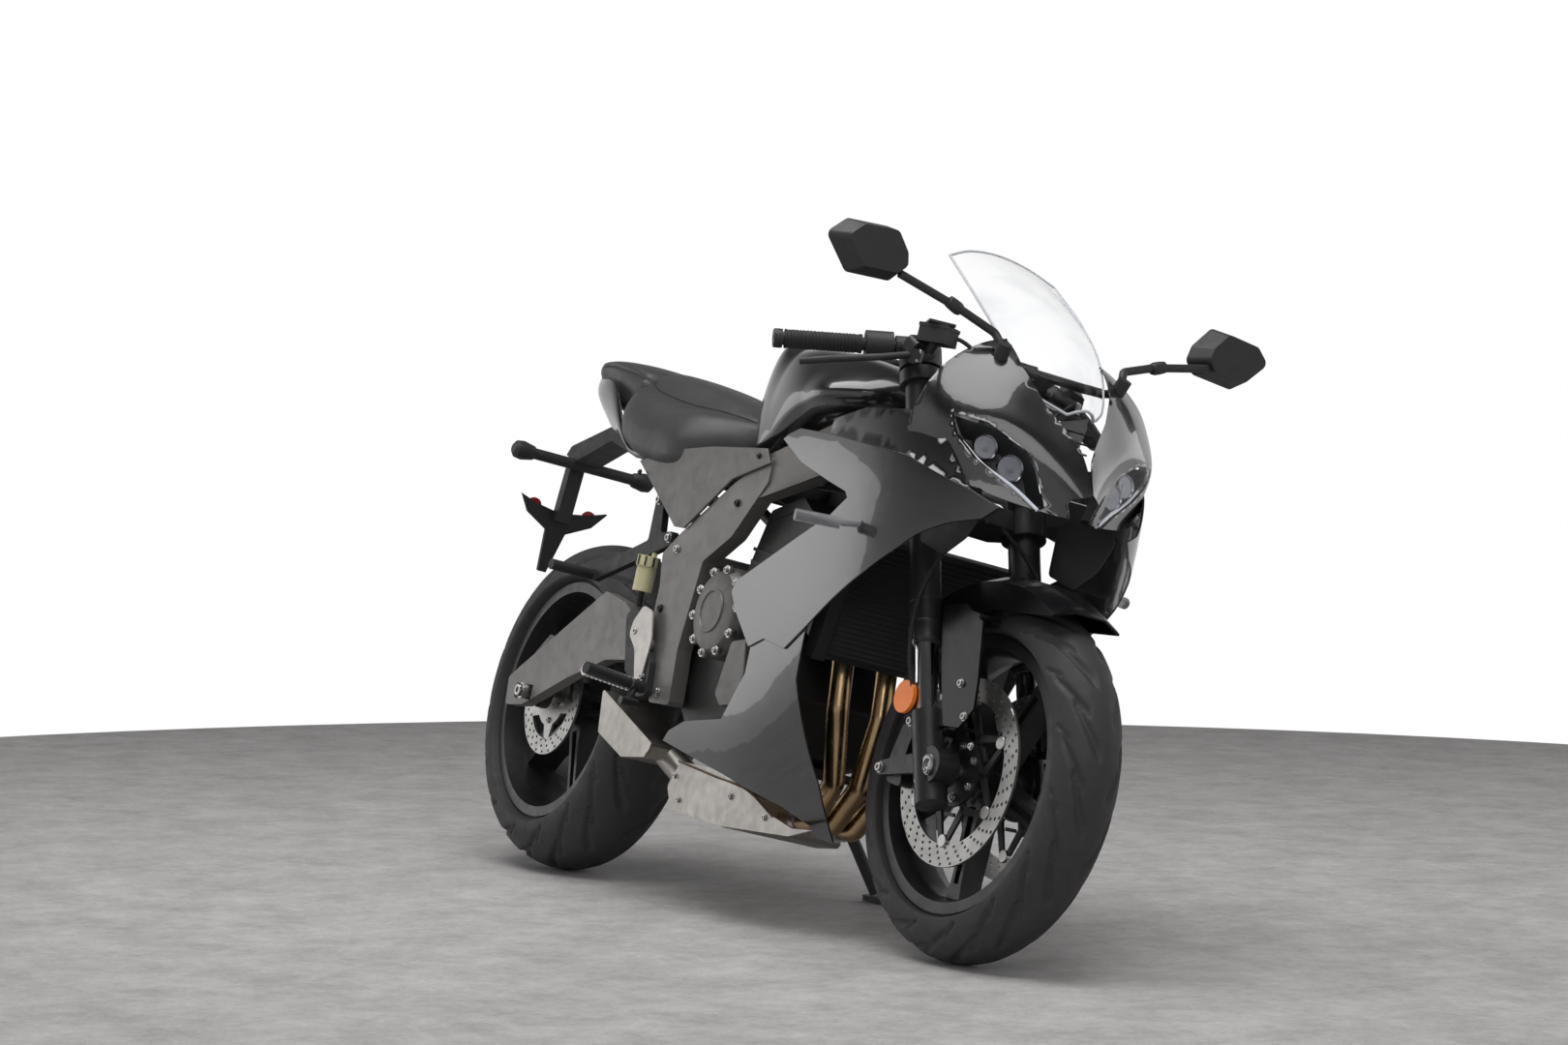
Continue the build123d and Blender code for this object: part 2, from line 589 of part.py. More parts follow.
def build_swingarm():
    outline = [(-800, 338), (-760, 362), (-476, 522), (-392, 505), (-320, 470), (-290, 440), (-320, 402),
               (-420, 396), (-560, 352), (-720, 290), (-790, 285)]
    slot = [(-760, rear_axle[1] + 14.3), (-690, rear_axle[1] + 14.3), (-690, rear_axle[1] - 14.3),
            (-760, rear_axle[1] - 14.3)]
    arms = None
    for side in (-1, 1):
        low, high = sorted((side * arm_half, side * (arm_half + arm_thick)))
        arm = slab(outline, low, high, 10)
        arm -= slab(slot, low - 1, high + 1)
        arms = arm if arms is None else arms + arm
    arms += slab([(-385, 444), (-280, 450), (-280, 408), (-385, 400)], -arm_half - 1, arm_half + 1)
    arms += slab([(-300, 450), (-205, 448), (-205, 414), (-300, 408)], -pivot_half, pivot_half)
    arms += rod((pivot[0], -pivot_half, pivot[1]), (pivot[0], pivot_half, pivot[1]), 24)
    arms -= slab([(-352, 470), (-259, 470), (-259, 380), (-352, 380)], -44, 44)
    arms -= rod((pivot[0], -200, pivot[1]), (pivot[0], 200, pivot[1]), pivot_radius + 0.05)
    keep("swingarm", arms)
    end = arm_half + arm_thick + 8
    axle = rod((rear_axle[0], -end, rear_axle[1]), (rear_axle[0], end, rear_axle[1]), rear_axle_radius)
    keep("rear_axle", axle)
    keep("swingarm", rod((pivot[0], -frame_half - frame_thick - 6, pivot[1]),
                         (pivot[0], frame_half + frame_thick + 6, pivot[1]), pivot_radius))


def build_tail():
    keep("rider_seat", loft([ring(x, half) for x, *half in rider_table]))
    keep("pillion_seat", loft([ring(x, half) for x, *half in pillion_table]))
    side = skin(tail_rows(), -wall)
    keep("tail_cowl", side, flip(side))


def build_tank():
    """Fuel tank on four rubber feet over the frame's beams."""
    tank = loft([ring(x, half) for x, *half in tank_table])
    beams = Pos(0, 0, seat_gap) * parts["frame"][0]
    for x, y, low, high in ((110, 122, 785, 880), (-40, 127, 735, 850)):
        for side in (-1, 1):
            tank += rod((x, side * y, low), (x, side * y, high), post_radius) - beams
    keep("fuel_tank", tank)


def side_skin(lift):
    """Smooth side surface on the rider's right, pushed out by a lift."""
    rows = [[(x, -(half + lift), z) for half, z in zip(halves, side_heights)]
            for x, halves in zip(side_stations, side_halves)]
    return rows


def side_panel(outline, lift):
    """Panel cut out of the side surface by its outline."""
    return skin(side_skin(lift), -wall) & slab(outline, -400, -20)


main_outline = [(211, 814), (247, 824), (368, 814), (481, 800), (626, 783), (740, 742), (772, 724), (756, 700),
                (718, 684), (677, 659), (637, 626), (580, 588), (490, 537), (406, 487), (337, 448), (261, 461),
                (210, 445), (147, 503), (123, 535), (136, 555), (440, 674), (487, 705), (477, 715), (401, 734),
                (292, 763), (194, 805)]
shoulder_outline = [(368, 814.4), (367, 840), (506, 868), (549, 898), (596, 922), (640, 900), (640, 859), (690, 812),
                    (738, 742.8), (626, 783.4), (481, 800.4)]
main_lift = 4            # main panel stands proud of the belly panel
belly_outline = [(212, 452), (262, 468), (337, 455), (404, 491), (375, 400), (390, 330), (410, 240), (405, 146),
                 (367, 156), (359, 170), (300, 192), (139, 226), (-32, 254), (-102, 266), (-82, 285), (-20, 305), (128, 318),
                 (200, 400)]


def build_fairings():
    for name, outline, lift in (("side_fairings", main_outline, main_lift),
                                ("upper_cowls", shoulder_outline, main_lift),
                                ("lower_fairings", belly_outline, 0)):
        panel = side_panel(outline, lift)
        left = flip(panel)
        if name == "lower_fairings":
            left -= block((-135, 200, 260), (330, 200, 200))
        keep(name, panel, left)
    nose = skin([[(x, -y, z) for x, y, z in reversed(around)] for around in nose_table], -wall)
    lens = nose & lamp_prism(0.4)
    nose -= lamp_prism(0)
    nose -= extrude(Pos(0, 0, 760) * face([(560, -66), (640, -96), (690, -88), (737, -60), (802, -5), (802, 5), (560, 5)]),
                    amount=400)
    keep("headlamps", lens, flip(lens))
    keep("upper_cowls", nose, flip(nose))


def build_screen():
    rows = []
    for x, half, z, mid_x, mid_z in screen_table:
        rows.append([(x + (mid_x - x) * share, y * half, z + (mid_z - z) * share)
                     for y, share in ((-1, 0), (-0.5, 0.75), (0, 1), (0.5, 0.75), (1, 0))])
    keep("windscreen", skin(rows, 3))


def build_mirrors():
    """Five-sided mirror heads on bent stalks, their feet on the nose cowl."""
    shell = loft([Plane(origin=(x, 0, 0), x_dir=(0, 1, 0), z_dir=(1, 0, 0)) * face(outline, 12)
                  for x, outline in mirror_sections])
    stalk = tube([(670, -119, 986), (652, -130, 1010), (636, -197, 1034), (624, -312, 1062)], 7, 12)
    foot = rod((660, -117, 962), (676, -121, 994), 12) - clear_of(nose_rows())
    mirror_right = shell + stalk + foot
    keep("mirrors", mirror_right, flip(mirror_right))


def build_indicators():
    lamp = rod((560, -215, 668), (515, -275, 657), 6.5) - clear_of(side_skin(main_lift))
    lamp += rod((520, -262, 658), (497, -334, 655), 10)
    keep("front_indicators", lamp, flip(lamp))


def build_rear():
    """Side covers under the seat, and the rear hanger with its lamp bar and forked plate holder."""
    side = slab([(-237, 650), (-426, 768), (-330, 790), (-160, 800), (40, 800), (61, 773), (-60, 742), (-200, 648)],
                -frame_half - frame_thick - 6, -frame_half - frame_thick - 0.4)
    keep("side_covers", side, flip(side))
    arm = slab([(-660, 815), (-700, 845), (-800, 868), (-985, 818), (-1000, 800), (-960, 785), (-820, 832), (-700, 800)],
               -28, 28)
    arm += slab([(-1012, 806), (-990, 806), (-1006, 668), (-1028, 668)], -16, 16)
    arm += rod((-972, -150, 783), (-972, 150, 783), 11)
    x, z = rear_bar
    arm += slab([(x - 11, z - 26), (x + 9, z - 30), (x + 9, z - 5), (x - 11, z - 5)], -20, 20)
    arm -= rod((x, -30, z), (x, 30, z), 11 + seat_gap)
    fork = Plane(origin=(-1014, 0, 705), x_dir=(0, 1, 0), z_dir=(-0.965, 0, 0.262))
    outline = [(-97, 0), (-60, 12), (0, 22), (60, 12), (97, 0), (72, 34), (22, 60), (9, 144), (-9, 144), (-22, 60), (-72, 34)]
    arm += extrude(fork * face(outline), amount=8)
    keep("plate_hanger", arm)


def build_pegs():
    for side in (-1, 1):
        low, high = sorted((side * 155, side * 167))
        hanger = slab([(-250, 460), (-200, 400), (-190, 340), (-225, 335), (-290, 380), (-330, 480), (-300, 500)], low, high, 10)
        hanger -= rod((pivot[0], low - 1, pivot[1]), (pivot[0], high + 1, pivot[1]), 22)
        hanger += rod((-214, side * 160, 352), (-197, side * 292, 364), 11)
        hanger += rod((-275, side * 154.2, 452), (-275, side * 160, 452), 10)
        keep("footrests", hanger)
        low, high = sorted((side * (rail_wide + 11 + seat_gap), side * 135))
        arm = slab([(-375, 722), (-348, 722), (-330, 640), (-285, 645), (-275, 622), (-560, 540), (-580, 560), (-372, 625)],
                   low, high, 8)
        arm += rod((-566, side * 132, 552), (-560, side * 225, 552), 10)
        keep("pillion_hangers", arm)
    arm = parts["pillion_hangers"][0]
    pot = rod((-343, -140, 528), (-343, -140, 574), 18) + rod((-343, -140, 574), (-343, -140, 594), 21)
    pot += rod((-343, -130, 585), (-343, -130, 615), 5) - Pos(0, 0, -seat_gap) * arm
    keep("rear_reservoir", pot)


def build_rear_brake():
    body = slab([(-70, 78), (-20, 118), (44, 108), (56, 70), (0, 62), (-50, 50)], -26, 26, 8)
    body += slab([(-24, 0), (-24, 70), (24, 70), (24, 0)], -32, -14) + rod((0, -32, 0), (0, -14, 0), 24)
    body -= rod((0, -40, 0), (0, 0, 0), rear_axle_radius + 0.1)
    body -= rod((0, -rear_disc_thick / 2 - 1, 0), (0, rear_disc_thick / 2 + 1, 0), rear_disc_radius + 3)
    keep("rear_caliper", Pos(rear_axle[0], -rear_disc_y, rear_axle[1]) * body)


def build_shock():
    keep("rear_shock", rod((-314, 0, 350), (-305, 0, 394), 18) + rod((-306, 0, 390), (-278, 0, 566), 30)
         + rod((-278, 0, 560), (-270.6, 0, 581.6), 14))


def build_chain():
    """Chain with a channel that the sprockets' teeth run in, and the small front sprocket."""
    front = Pos(countershaft[0], countershaft[1])
    rear = Pos(rear_axle[0], rear_axle[1])
    band = make_hull([(front * Circle(46)).edge(), (rear * Circle(sprocket_radius + 10)).edge()])
    hole = make_hull([(front * Circle(34)).edge(), (rear * Circle(sprocket_radius - 2)).edge()])
    teeth = make_hull([(front * Circle(39)).edge(), (rear * Circle(sprocket_radius + 3)).edge()])
    plates = Pos(0, sprocket_y + chain_half, 0) * extrude(Plane.XZ * (band - hole), amount=2 * chain_half)
    channel = sprocket_thick / 2 + 0.5
    plates -= Pos(0, sprocket_y + channel, 0) * extrude(Plane.XZ * teeth, amount=2 * channel)
    keep("chain", plates)
    keep("chain", Pos(countershaft[0], sprocket_y, countershaft[1])
         * turned([(-3, shaft_radius + 0.1), (-3, 36), (3, 36), (3, shaft_radius + 0.1)]))


def build_dash():
    """Instrument panel, its back on the nose's stay."""
    keep("dash", Pos(*dash_place) * (Rot(0, -dash_tilt, 0) * Box(dash_thick, 120, 80)))


def build_stand():
    """Side stand out, its foot flat on the ground once the motorcycle leans on it."""
    foot = Vector(foot_ahead, foot_reach * cos(radians(lean)), foot_reach * sin(radians(lean)))
    up = Vector(0, -sin(radians(lean)), cos(radians(lean)))
    hinge = Vector(*stand_pivot)
    swing = Vector(*stand_axis)
    leg = rod(hinge, foot + up * 14, 11)
    leg += extrude(Plane(origin=foot, x_dir=(1, 0, 0), z_dir=up) * (Pos(0, 13) * RectangleRounded(76, 46, 10)), amount=9)
    leg += rod(hinge - swing * stand_eye_half, hinge + swing * stand_eye_half, stand_eye)
    leg -= rod(hinge - swing * 30, hinge + swing * 30, stand_bolt + 0.2)
    keep("side_stand", leg)


for build in (build_front_wheel, build_rear_wheel, build_fork, build_handlebars, build_front_end_trim, build_frame,
              build_subframe, build_engine, build_engine_covers, build_radiator, build_exhaust, build_swingarm,
              build_tail, build_tank, build_fairings, build_screen, build_mirrors, build_indicators, build_rear,
              build_pegs, build_rear_brake, build_shock, build_chain, build_dash, build_stand):
    build()


def park(shape, turns):
    """Turns the steered pieces as parked, then leans the whole motorcycle onto its stand."""
    if turns:
        shape = shape.rotate(Axis((steer_foot, 0, 0), leg_axis), parked_steer)
    return shape.rotate(Axis.X, -lean)


placed = {name: [park(s, name in steered) for s in solids] for name, solids in parts.items()}
front_low = placed["front_tyre"][0].bounding_box().min.Z
rear_low = placed["rear_tyre"][0].bounding_box().min.Z
pitch = degrees(atan2(front_low - rear_low, wheelbase))


def settle(shape):
    """Sets both tyres on the ground."""
    return Pos(0, 0, -(front_low + rear_low) / 2) * shape.rotate(Axis.Y, pitch)


placed = {name: [settle(s) for s in solids] for name, solids in placed.items()}
box = Compound(children=[s for solids in placed.values() for s in solids]).bounding_box()
shift = Vector(-(box.min.X + box.max.X) / 2, -(box.min.Y + box.max.Y) / 2, -box.min.Z)

os.makedirs("parts", exist_ok=True)
for name, solids in placed.items():
    export_step(Compound(children=[Pos(*shift) * s for s in solids]), "parts/" + name + ".step")
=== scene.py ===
import json
import bmesh
import bpy
import numpy as np
from mathutils import Matrix, Vector


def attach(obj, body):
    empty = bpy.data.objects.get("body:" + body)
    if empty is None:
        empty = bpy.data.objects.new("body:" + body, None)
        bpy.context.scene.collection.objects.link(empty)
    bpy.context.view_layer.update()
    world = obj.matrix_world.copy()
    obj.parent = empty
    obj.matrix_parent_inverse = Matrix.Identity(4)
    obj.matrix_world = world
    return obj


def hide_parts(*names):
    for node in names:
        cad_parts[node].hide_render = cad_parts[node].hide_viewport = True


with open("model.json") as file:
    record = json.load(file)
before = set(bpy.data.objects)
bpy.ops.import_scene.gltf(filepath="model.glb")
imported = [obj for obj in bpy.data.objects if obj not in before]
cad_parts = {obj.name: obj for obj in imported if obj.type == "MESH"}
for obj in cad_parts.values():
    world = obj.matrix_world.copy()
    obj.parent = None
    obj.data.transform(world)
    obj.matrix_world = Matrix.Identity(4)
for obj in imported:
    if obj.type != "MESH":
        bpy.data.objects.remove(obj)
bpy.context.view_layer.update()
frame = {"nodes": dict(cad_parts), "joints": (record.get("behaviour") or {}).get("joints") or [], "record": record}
print("frame loaded:", len(frame["nodes"]), "nodes")

# The machine's own upright frame: mm, x forward from mid-wheelbase, y to the rider's left, z up.
joints = {joint["name"]: joint for joint in frame["joints"]}
bike = {
    "rearAxle": (-712.5, 0, 315),
    "frontAxle": (712.5, 0, 300),
    "trail": 82,                 # the steering axis meets the floor this far ahead of the front axle
    "headAngle": 23.8,           # degrees, back from upright
    "parkedSteer": 2.6,          # degrees, bars turned a little left
}
rearHub = np.array(joints["rear_wheel_spin"]["pos_m"])
rearSpin = np.array(joints["rear_wheel_spin"]["axis"])
steerPin = np.array(joints["steering"]["pos_m"])
steerAxis = np.array(joints["steering"]["axis"])
leanAngle = np.arctan2(-rearSpin[2], rearSpin[1])
pitchAngle = np.arctan2(-rearSpin[0], -rearSpin[2])


def turnAbout(axis, angle):
    # Rodrigues: cos I + sin K + (1 - cos) a a^T
    a = np.asarray(axis, float) / np.linalg.norm(axis)
    k = np.array([[0, -a[2], a[1]], [a[2], 0, -a[0]], [-a[1], a[0], 0]])
    return np.cos(angle) * np.eye(3) + np.sin(angle) * k + (1 - np.cos(angle)) * np.outer(a, a)


parked = turnAbout((0, 1, 0), pitchAngle) @ turnAbout((1, 0, 0), -leanAngle)
steeredTurn = turnAbout(steerAxis, np.radians(bike["parkedSteer"]))


def place(points, steered=False):
    # upright mm -> leaned metres, and round the steering axis for what turns with the bars
    moved = (np.asarray(points, float) - bike["rearAxle"]) / 1000 @ parked.T + rearHub
    return (moved - steerPin) @ steeredTurn.T + steerPin if steered else moved


headAngle = np.radians(bike["headAngle"])
legAxis = np.array((-np.sin(headAngle), 0, np.cos(headAngle)))


def leg(along, ahead, y):
    # a point along the steering axis from the floor, ahead of the axis and to the side
    foot = bike["frontAxle"][0] + bike["trail"]
    return (foot - along * np.sin(headAngle) + ahead * np.cos(headAngle), y,
            along * np.cos(headAngle) + ahead * np.sin(headAngle))


# Camera at the photograph's place
view = {
    "fromRearHub": (6.89556, -3.48983, 0.61807),     # m
    "right": (0.49347, 0.86975, 0.00398),
    "up": (-0.03159, 0.01334, 0.99941),
    "back": (0.86919, -0.49331, 0.03406),
    "lens": 92.64,
    "film": 36,
}
camera = bpy.data.objects.new("camera", bpy.data.cameras.new("camera"))
bpy.context.scene.collection.objects.link(camera)
turned = Matrix((view["right"], view["up"], view["back"])).transposed().to_4x4()
camera.matrix_world = Matrix.Translation(Vector(rearHub) + Vector(view["fromRearHub"])) @ turned
camera.data.lens = view["lens"]
camera.data.sensor_width = view["film"]
camera.data.clip_end = 100
bpy.context.scene.camera = camera

# Studio
studio = {
    "floorRadius": 3.5,
    "floorAhead": 0.7,           # m, centre of the round floor ahead of the rear hub,
    "floorPast": 0.55,           # and beyond the machine, along the view
    "floorColour": (0.47, 0.455, 0.45),
    "floorSpread": (0.7, 1.3),
    "walls": 0.62,               # grey of the room round the machine, and of what is above it
    "ceiling": 0.05,
    "fade": (0.12, 0.6),         # height on the sky where walls turn into ceiling
    "lamps": (                   # name, place, aimed at, width, depth, watts
        ("overhead", (0.2, -0.6, 3.6), (0, -0.1, 0.4), 4.2, 2.4, 125),
        ("rightWall", (-4.1, -2.7, 1.3), (0, 0, 0.75), 2.6, 2.0, 15),
        ("front", (4.8, -2.2, 3.2), (0.4, 0, 0.6), 2.4, 2.0, 34),
        ("leftWall", (0.6, 4.0, 2.0), (0, 0, 0.7), 3.0, 2.0, 16),
    ),
}


def link(tree, source, target):
    tree.links.new(source, target)


def node(tree, kind, **values):
    made = tree.nodes.new(kind)
    for key, value in values.items():
        if hasattr(made, key):
            setattr(made, key, value)
        else:
            made.inputs[key.replace("_", " ")].default_value = value
    return made


def buildStudio():
    world = bpy.data.worlds.new("studio")
    bpy.context.scene.world = world
    world.use_nodes = True
    tree = world.node_tree
    tree.nodes.clear()
    output = tree.nodes.new("ShaderNodeOutputWorld")
    mix = tree.nodes.new("ShaderNodeMixShader")
    white = tree.nodes.new("ShaderNodeBackground")
    room = tree.nodes.new("ShaderNodeBackground")
    path = tree.nodes.new("ShaderNodeLightPath")
    seen = node(tree, "ShaderNodeMath", operation="MAXIMUM")
    # white behind the machine and through its glass, but not in a mirror behind the glass
    mirrored = node(tree, "ShaderNodeMath", operation="LESS_THAN")
    mirrored.inputs[1].default_value = 0.5
    through = node(tree, "ShaderNodeMath", operation="MULTIPLY")
    place3 = tree.nodes.new("ShaderNodeTexCoord")
    parts = tree.nodes.new("ShaderNodeSeparateXYZ")
    fade = tree.nodes.new("ShaderNodeMapRange")
    fade.interpolation_type = "SMOOTHSTEP"
    for socket, value in (("From Min", studio["fade"][0]), ("From Max", studio["fade"][1]),
                          ("To Min", studio["walls"]), ("To Max", studio["ceiling"])):
        fade.inputs[socket].default_value = value
    link(tree, place3.outputs["Generated"], parts.inputs[0])
    link(tree, parts.outputs["Z"], fade.inputs["Value"])
    link(tree, fade.outputs[0], room.inputs["Color"])
    link(tree, path.outputs["Is Camera Ray"], seen.inputs[0])
    link(tree, path.outputs["Glossy Depth"], mirrored.inputs[0])
    link(tree, path.outputs["Is Transmission Ray"], through.inputs[0])
    link(tree, mirrored.outputs[0], through.inputs[1])
    link(tree, through.outputs[0], seen.inputs[1])
    link(tree, seen.outputs[0], mix.inputs[0])
    link(tree, room.outputs[0], mix.inputs[1])
    link(tree, white.outputs[0], mix.inputs[2])
    link(tree, mix.outputs[0], output.inputs[0])
    white.inputs["Color"].default_value = (1, 1, 1, 1)

    angle = np.linspace(0, 2 * np.pi, 97)[:-1]
    centre = np.array(rearHub[:2]) + (studio["floorAhead"], 0)
    centre = centre - studio["floorPast"] * np.array(view["back"][:2])
    rim = np.stack([centre[0] + studio["floorRadius"] * np.cos(angle),
                    centre[1] + studio["floorRadius"] * np.sin(angle), 0 * angle], 1)
    mesh = bpy.data.meshes.new("floor")
    mesh.from_pydata(rim.tolist(), [], [list(range(len(rim)))])
    floor = bpy.data.objects.new("floor", mesh)
    bpy.context.scene.collection.objects.link(floor)
    material = bpy.data.materials.new("floor")
    material.use_nodes = True
    tree = material.node_tree
    shader = tree.nodes["Principled BSDF"]
    shader.inputs["Roughness"].default_value = 0.62
    place3 = tree.nodes.new("ShaderNodeTexCoord")
    noise = node(tree, "ShaderNodeTexNoise", Scale=6, Detail=12, Roughness=0.92)
    tone = tree.nodes.new("ShaderNodeMapRange")
    for socket, value in (("From Min", 0.38), ("From Max", 0.62), ("To Min", studio["floorSpread"][0]),
                          ("To Max", studio["floorSpread"][1])):
        tone.inputs[socket].default_value = value
    tint = node(tree, "ShaderNodeVectorMath", operation="SCALE")
    tint.inputs[0].default_value = studio["floorColour"]
    link(tree, place3.outputs["Object"], noise.inputs["Vector"])
    link(tree, noise.outputs[0], tone.inputs["Value"])
    link(tree, tone.outputs[0], tint.inputs["Scale"])
    link(tree, tint.outputs[0], shader.inputs["Base Color"])
    mesh.materials.append(material)

    for name, spot, aim, width, depth, watts in studio["lamps"]:
        lamp = bpy.data.lights.new(name, "AREA")
        lamp.shape = "RECTANGLE"
        lamp.size, lamp.size_y, lamp.energy = width, depth, watts
        holder = bpy.data.objects.new(name, lamp)
        bpy.context.scene.collection.objects.link(holder)
        holder.location = spot
        holder.rotation_euler = (Vector(aim) - Vector(spot)).to_track_quat("-Z", "Y").to_euler()
    bpy.context.scene.view_settings.view_transform = "Standard"


buildStudio()
print("studio and camera set")


# Shared effects
def newGroup(name, inputs, outputs):
    group = bpy.data.node_groups.new(name, "ShaderNodeTree")
    for label, kind, value in inputs:
        socket = group.interface.new_socket(label, in_out="INPUT", socket_type=kind)
        if value is not None:
            socket.default_value = value
    for label, kind in outputs:
        group.interface.new_socket(label, in_out="OUTPUT", socket_type=kind)
    return group, group.nodes.new("NodeGroupInput"), group.nodes.new("NodeGroupOutput")


def mapped(tree, source, low, high, toLow, toHigh):
    ramp = tree.nodes.new("ShaderNodeMapRange")
    for socket, value in (("From Min", low), ("From Max", high), ("To Min", toLow), ("To Max", toHigh)):
        ramp.inputs[socket].default_value = value
    link(tree, source, ramp.inputs["Value"])
    return ramp.outputs[0]


def buildBreakup():
    # colour x (1 + spread x noise), roughness + spread x a second, finer noise
    group, into, out = newGroup("surfaceBreakup", (
        ("Colour", "NodeSocketColor", (0.5, 0.5, 0.5, 1)), ("Roughness", "NodeSocketFloat", 0.4),
        ("Scale", "NodeSocketFloat", 8.0), ("Colour spread", "NodeSocketFloat", 0.1),
        ("Roughness spread", "NodeSocketFloat", 0.05)),
        (("Colour", "NodeSocketColor"), ("Roughness", "NodeSocketFloat")))
    spot = group.nodes.new("ShaderNodeTexCoord")
    broad = node(group, "ShaderNodeTexNoise", Detail=5)
    fine = node(group, "ShaderNodeTexNoise", Detail=8)
    finer = node(group, "ShaderNodeMath", operation="MULTIPLY")
    finer.inputs[1].default_value = 6
    link(group, spot.outputs["Object"], broad.inputs["Vector"])
    link(group, spot.outputs["Object"], fine.inputs["Vector"])
    link(group, into.outputs["Scale"], broad.inputs["Scale"])
    link(group, into.outputs["Scale"], finer.inputs[0])
    link(group, finer.outputs[0], fine.inputs["Scale"])
    swing = node(group, "ShaderNodeMath", operation="MULTIPLY_ADD")
    swing.inputs[2].default_value = 1
    link(group, mapped(group, broad.outputs[0], 0.3, 0.7, -1, 1), swing.inputs[0])
    link(group, into.outputs["Colour spread"], swing.inputs[1])
    tint = node(group, "ShaderNodeVectorMath", operation="SCALE")
    link(group, into.outputs["Colour"], tint.inputs[0])
    link(group, swing.outputs[0], tint.inputs["Scale"])
    link(group, tint.outputs[0], out.inputs["Colour"])
    rough = node(group, "ShaderNodeMath", operation="MULTIPLY_ADD")
    link(group, mapped(group, fine.outputs[0], 0.3, 0.7, -1, 1), rough.inputs[0])
    link(group, into.outputs["Roughness spread"], rough.inputs[1])
    link(group, into.outputs["Roughness"], rough.inputs[2])
    link(group, rough.outputs[0], out.inputs["Roughness"])
    return group


def buildGrain():
    # height of a cast or moulded skin: cells over noise
    group, into, out = newGroup("castGrain", (("Scale", "NodeSocketFloat", 300.0),),
                                (("Height", "NodeSocketFloat"),))
    spot = group.nodes.new("ShaderNodeTexCoord")
    cells = node(group, "ShaderNodeTexVoronoi")
    noise = node(group, "ShaderNodeTexNoise", Detail=3)
    for texture in (cells, noise):
        link(group, spot.outputs["Object"], texture.inputs["Vector"])
        link(group, into.outputs["Scale"], texture.inputs["Scale"])
    blend = node(group, "ShaderNodeMath", operation="ADD")
    link(group, cells.outputs["Distance"], blend.inputs[0])
    link(group, noise.outputs[0], blend.inputs[1])
    link(group, blend.outputs[0], out.inputs["Height"])
    return group


def buildEdgeWear():
    # mask where the rounded normal leaves the face's own, broken up by noise
    group, into, out = newGroup("edgeWear", (("Width", "NodeSocketFloat", 0.002),
                                             ("Amount", "NodeSocketFloat", 0.5)),
                                (("Mask", "NodeSocketFloat"),))
    round3 = node(group, "ShaderNodeBevel", samples=4)
    flat = group.nodes.new("ShaderNodeNewGeometry")
    same = node(group, "ShaderNodeVectorMath", operation="DOT_PRODUCT")
    noise = node(group, "ShaderNodeTexNoise", Scale=45, Detail=4)
    spot = group.nodes.new("ShaderNodeTexCoord")
    link(group, spot.outputs["Object"], noise.inputs["Vector"])
    link(group, into.outputs["Width"], round3.inputs["Radius"])
    link(group, round3.outputs[0], same.inputs[0])
    link(group, flat.outputs["Normal"], same.inputs[1])
    edge = mapped(group, same.outputs["Value"], 1.0, 0.86, 0, 1)
    broken = node(group, "ShaderNodeMath", operation="MULTIPLY")
    amount = node(group, "ShaderNodeMath", operation="MULTIPLY")
    link(group, edge, broken.inputs[0])
    link(group, mapped(group, noise.outputs[0], 0.35, 0.62, 0, 1), broken.inputs[1])
    link(group, broken.outputs[0], amount.inputs[0])
    link(group, into.outputs["Amount"], amount.inputs[1])
    link(group, amount.outputs[0], out.inputs["Mask"])
    return group


breakup, grain, edgeWear = buildBreakup(), buildGrain(), buildEdgeWear()

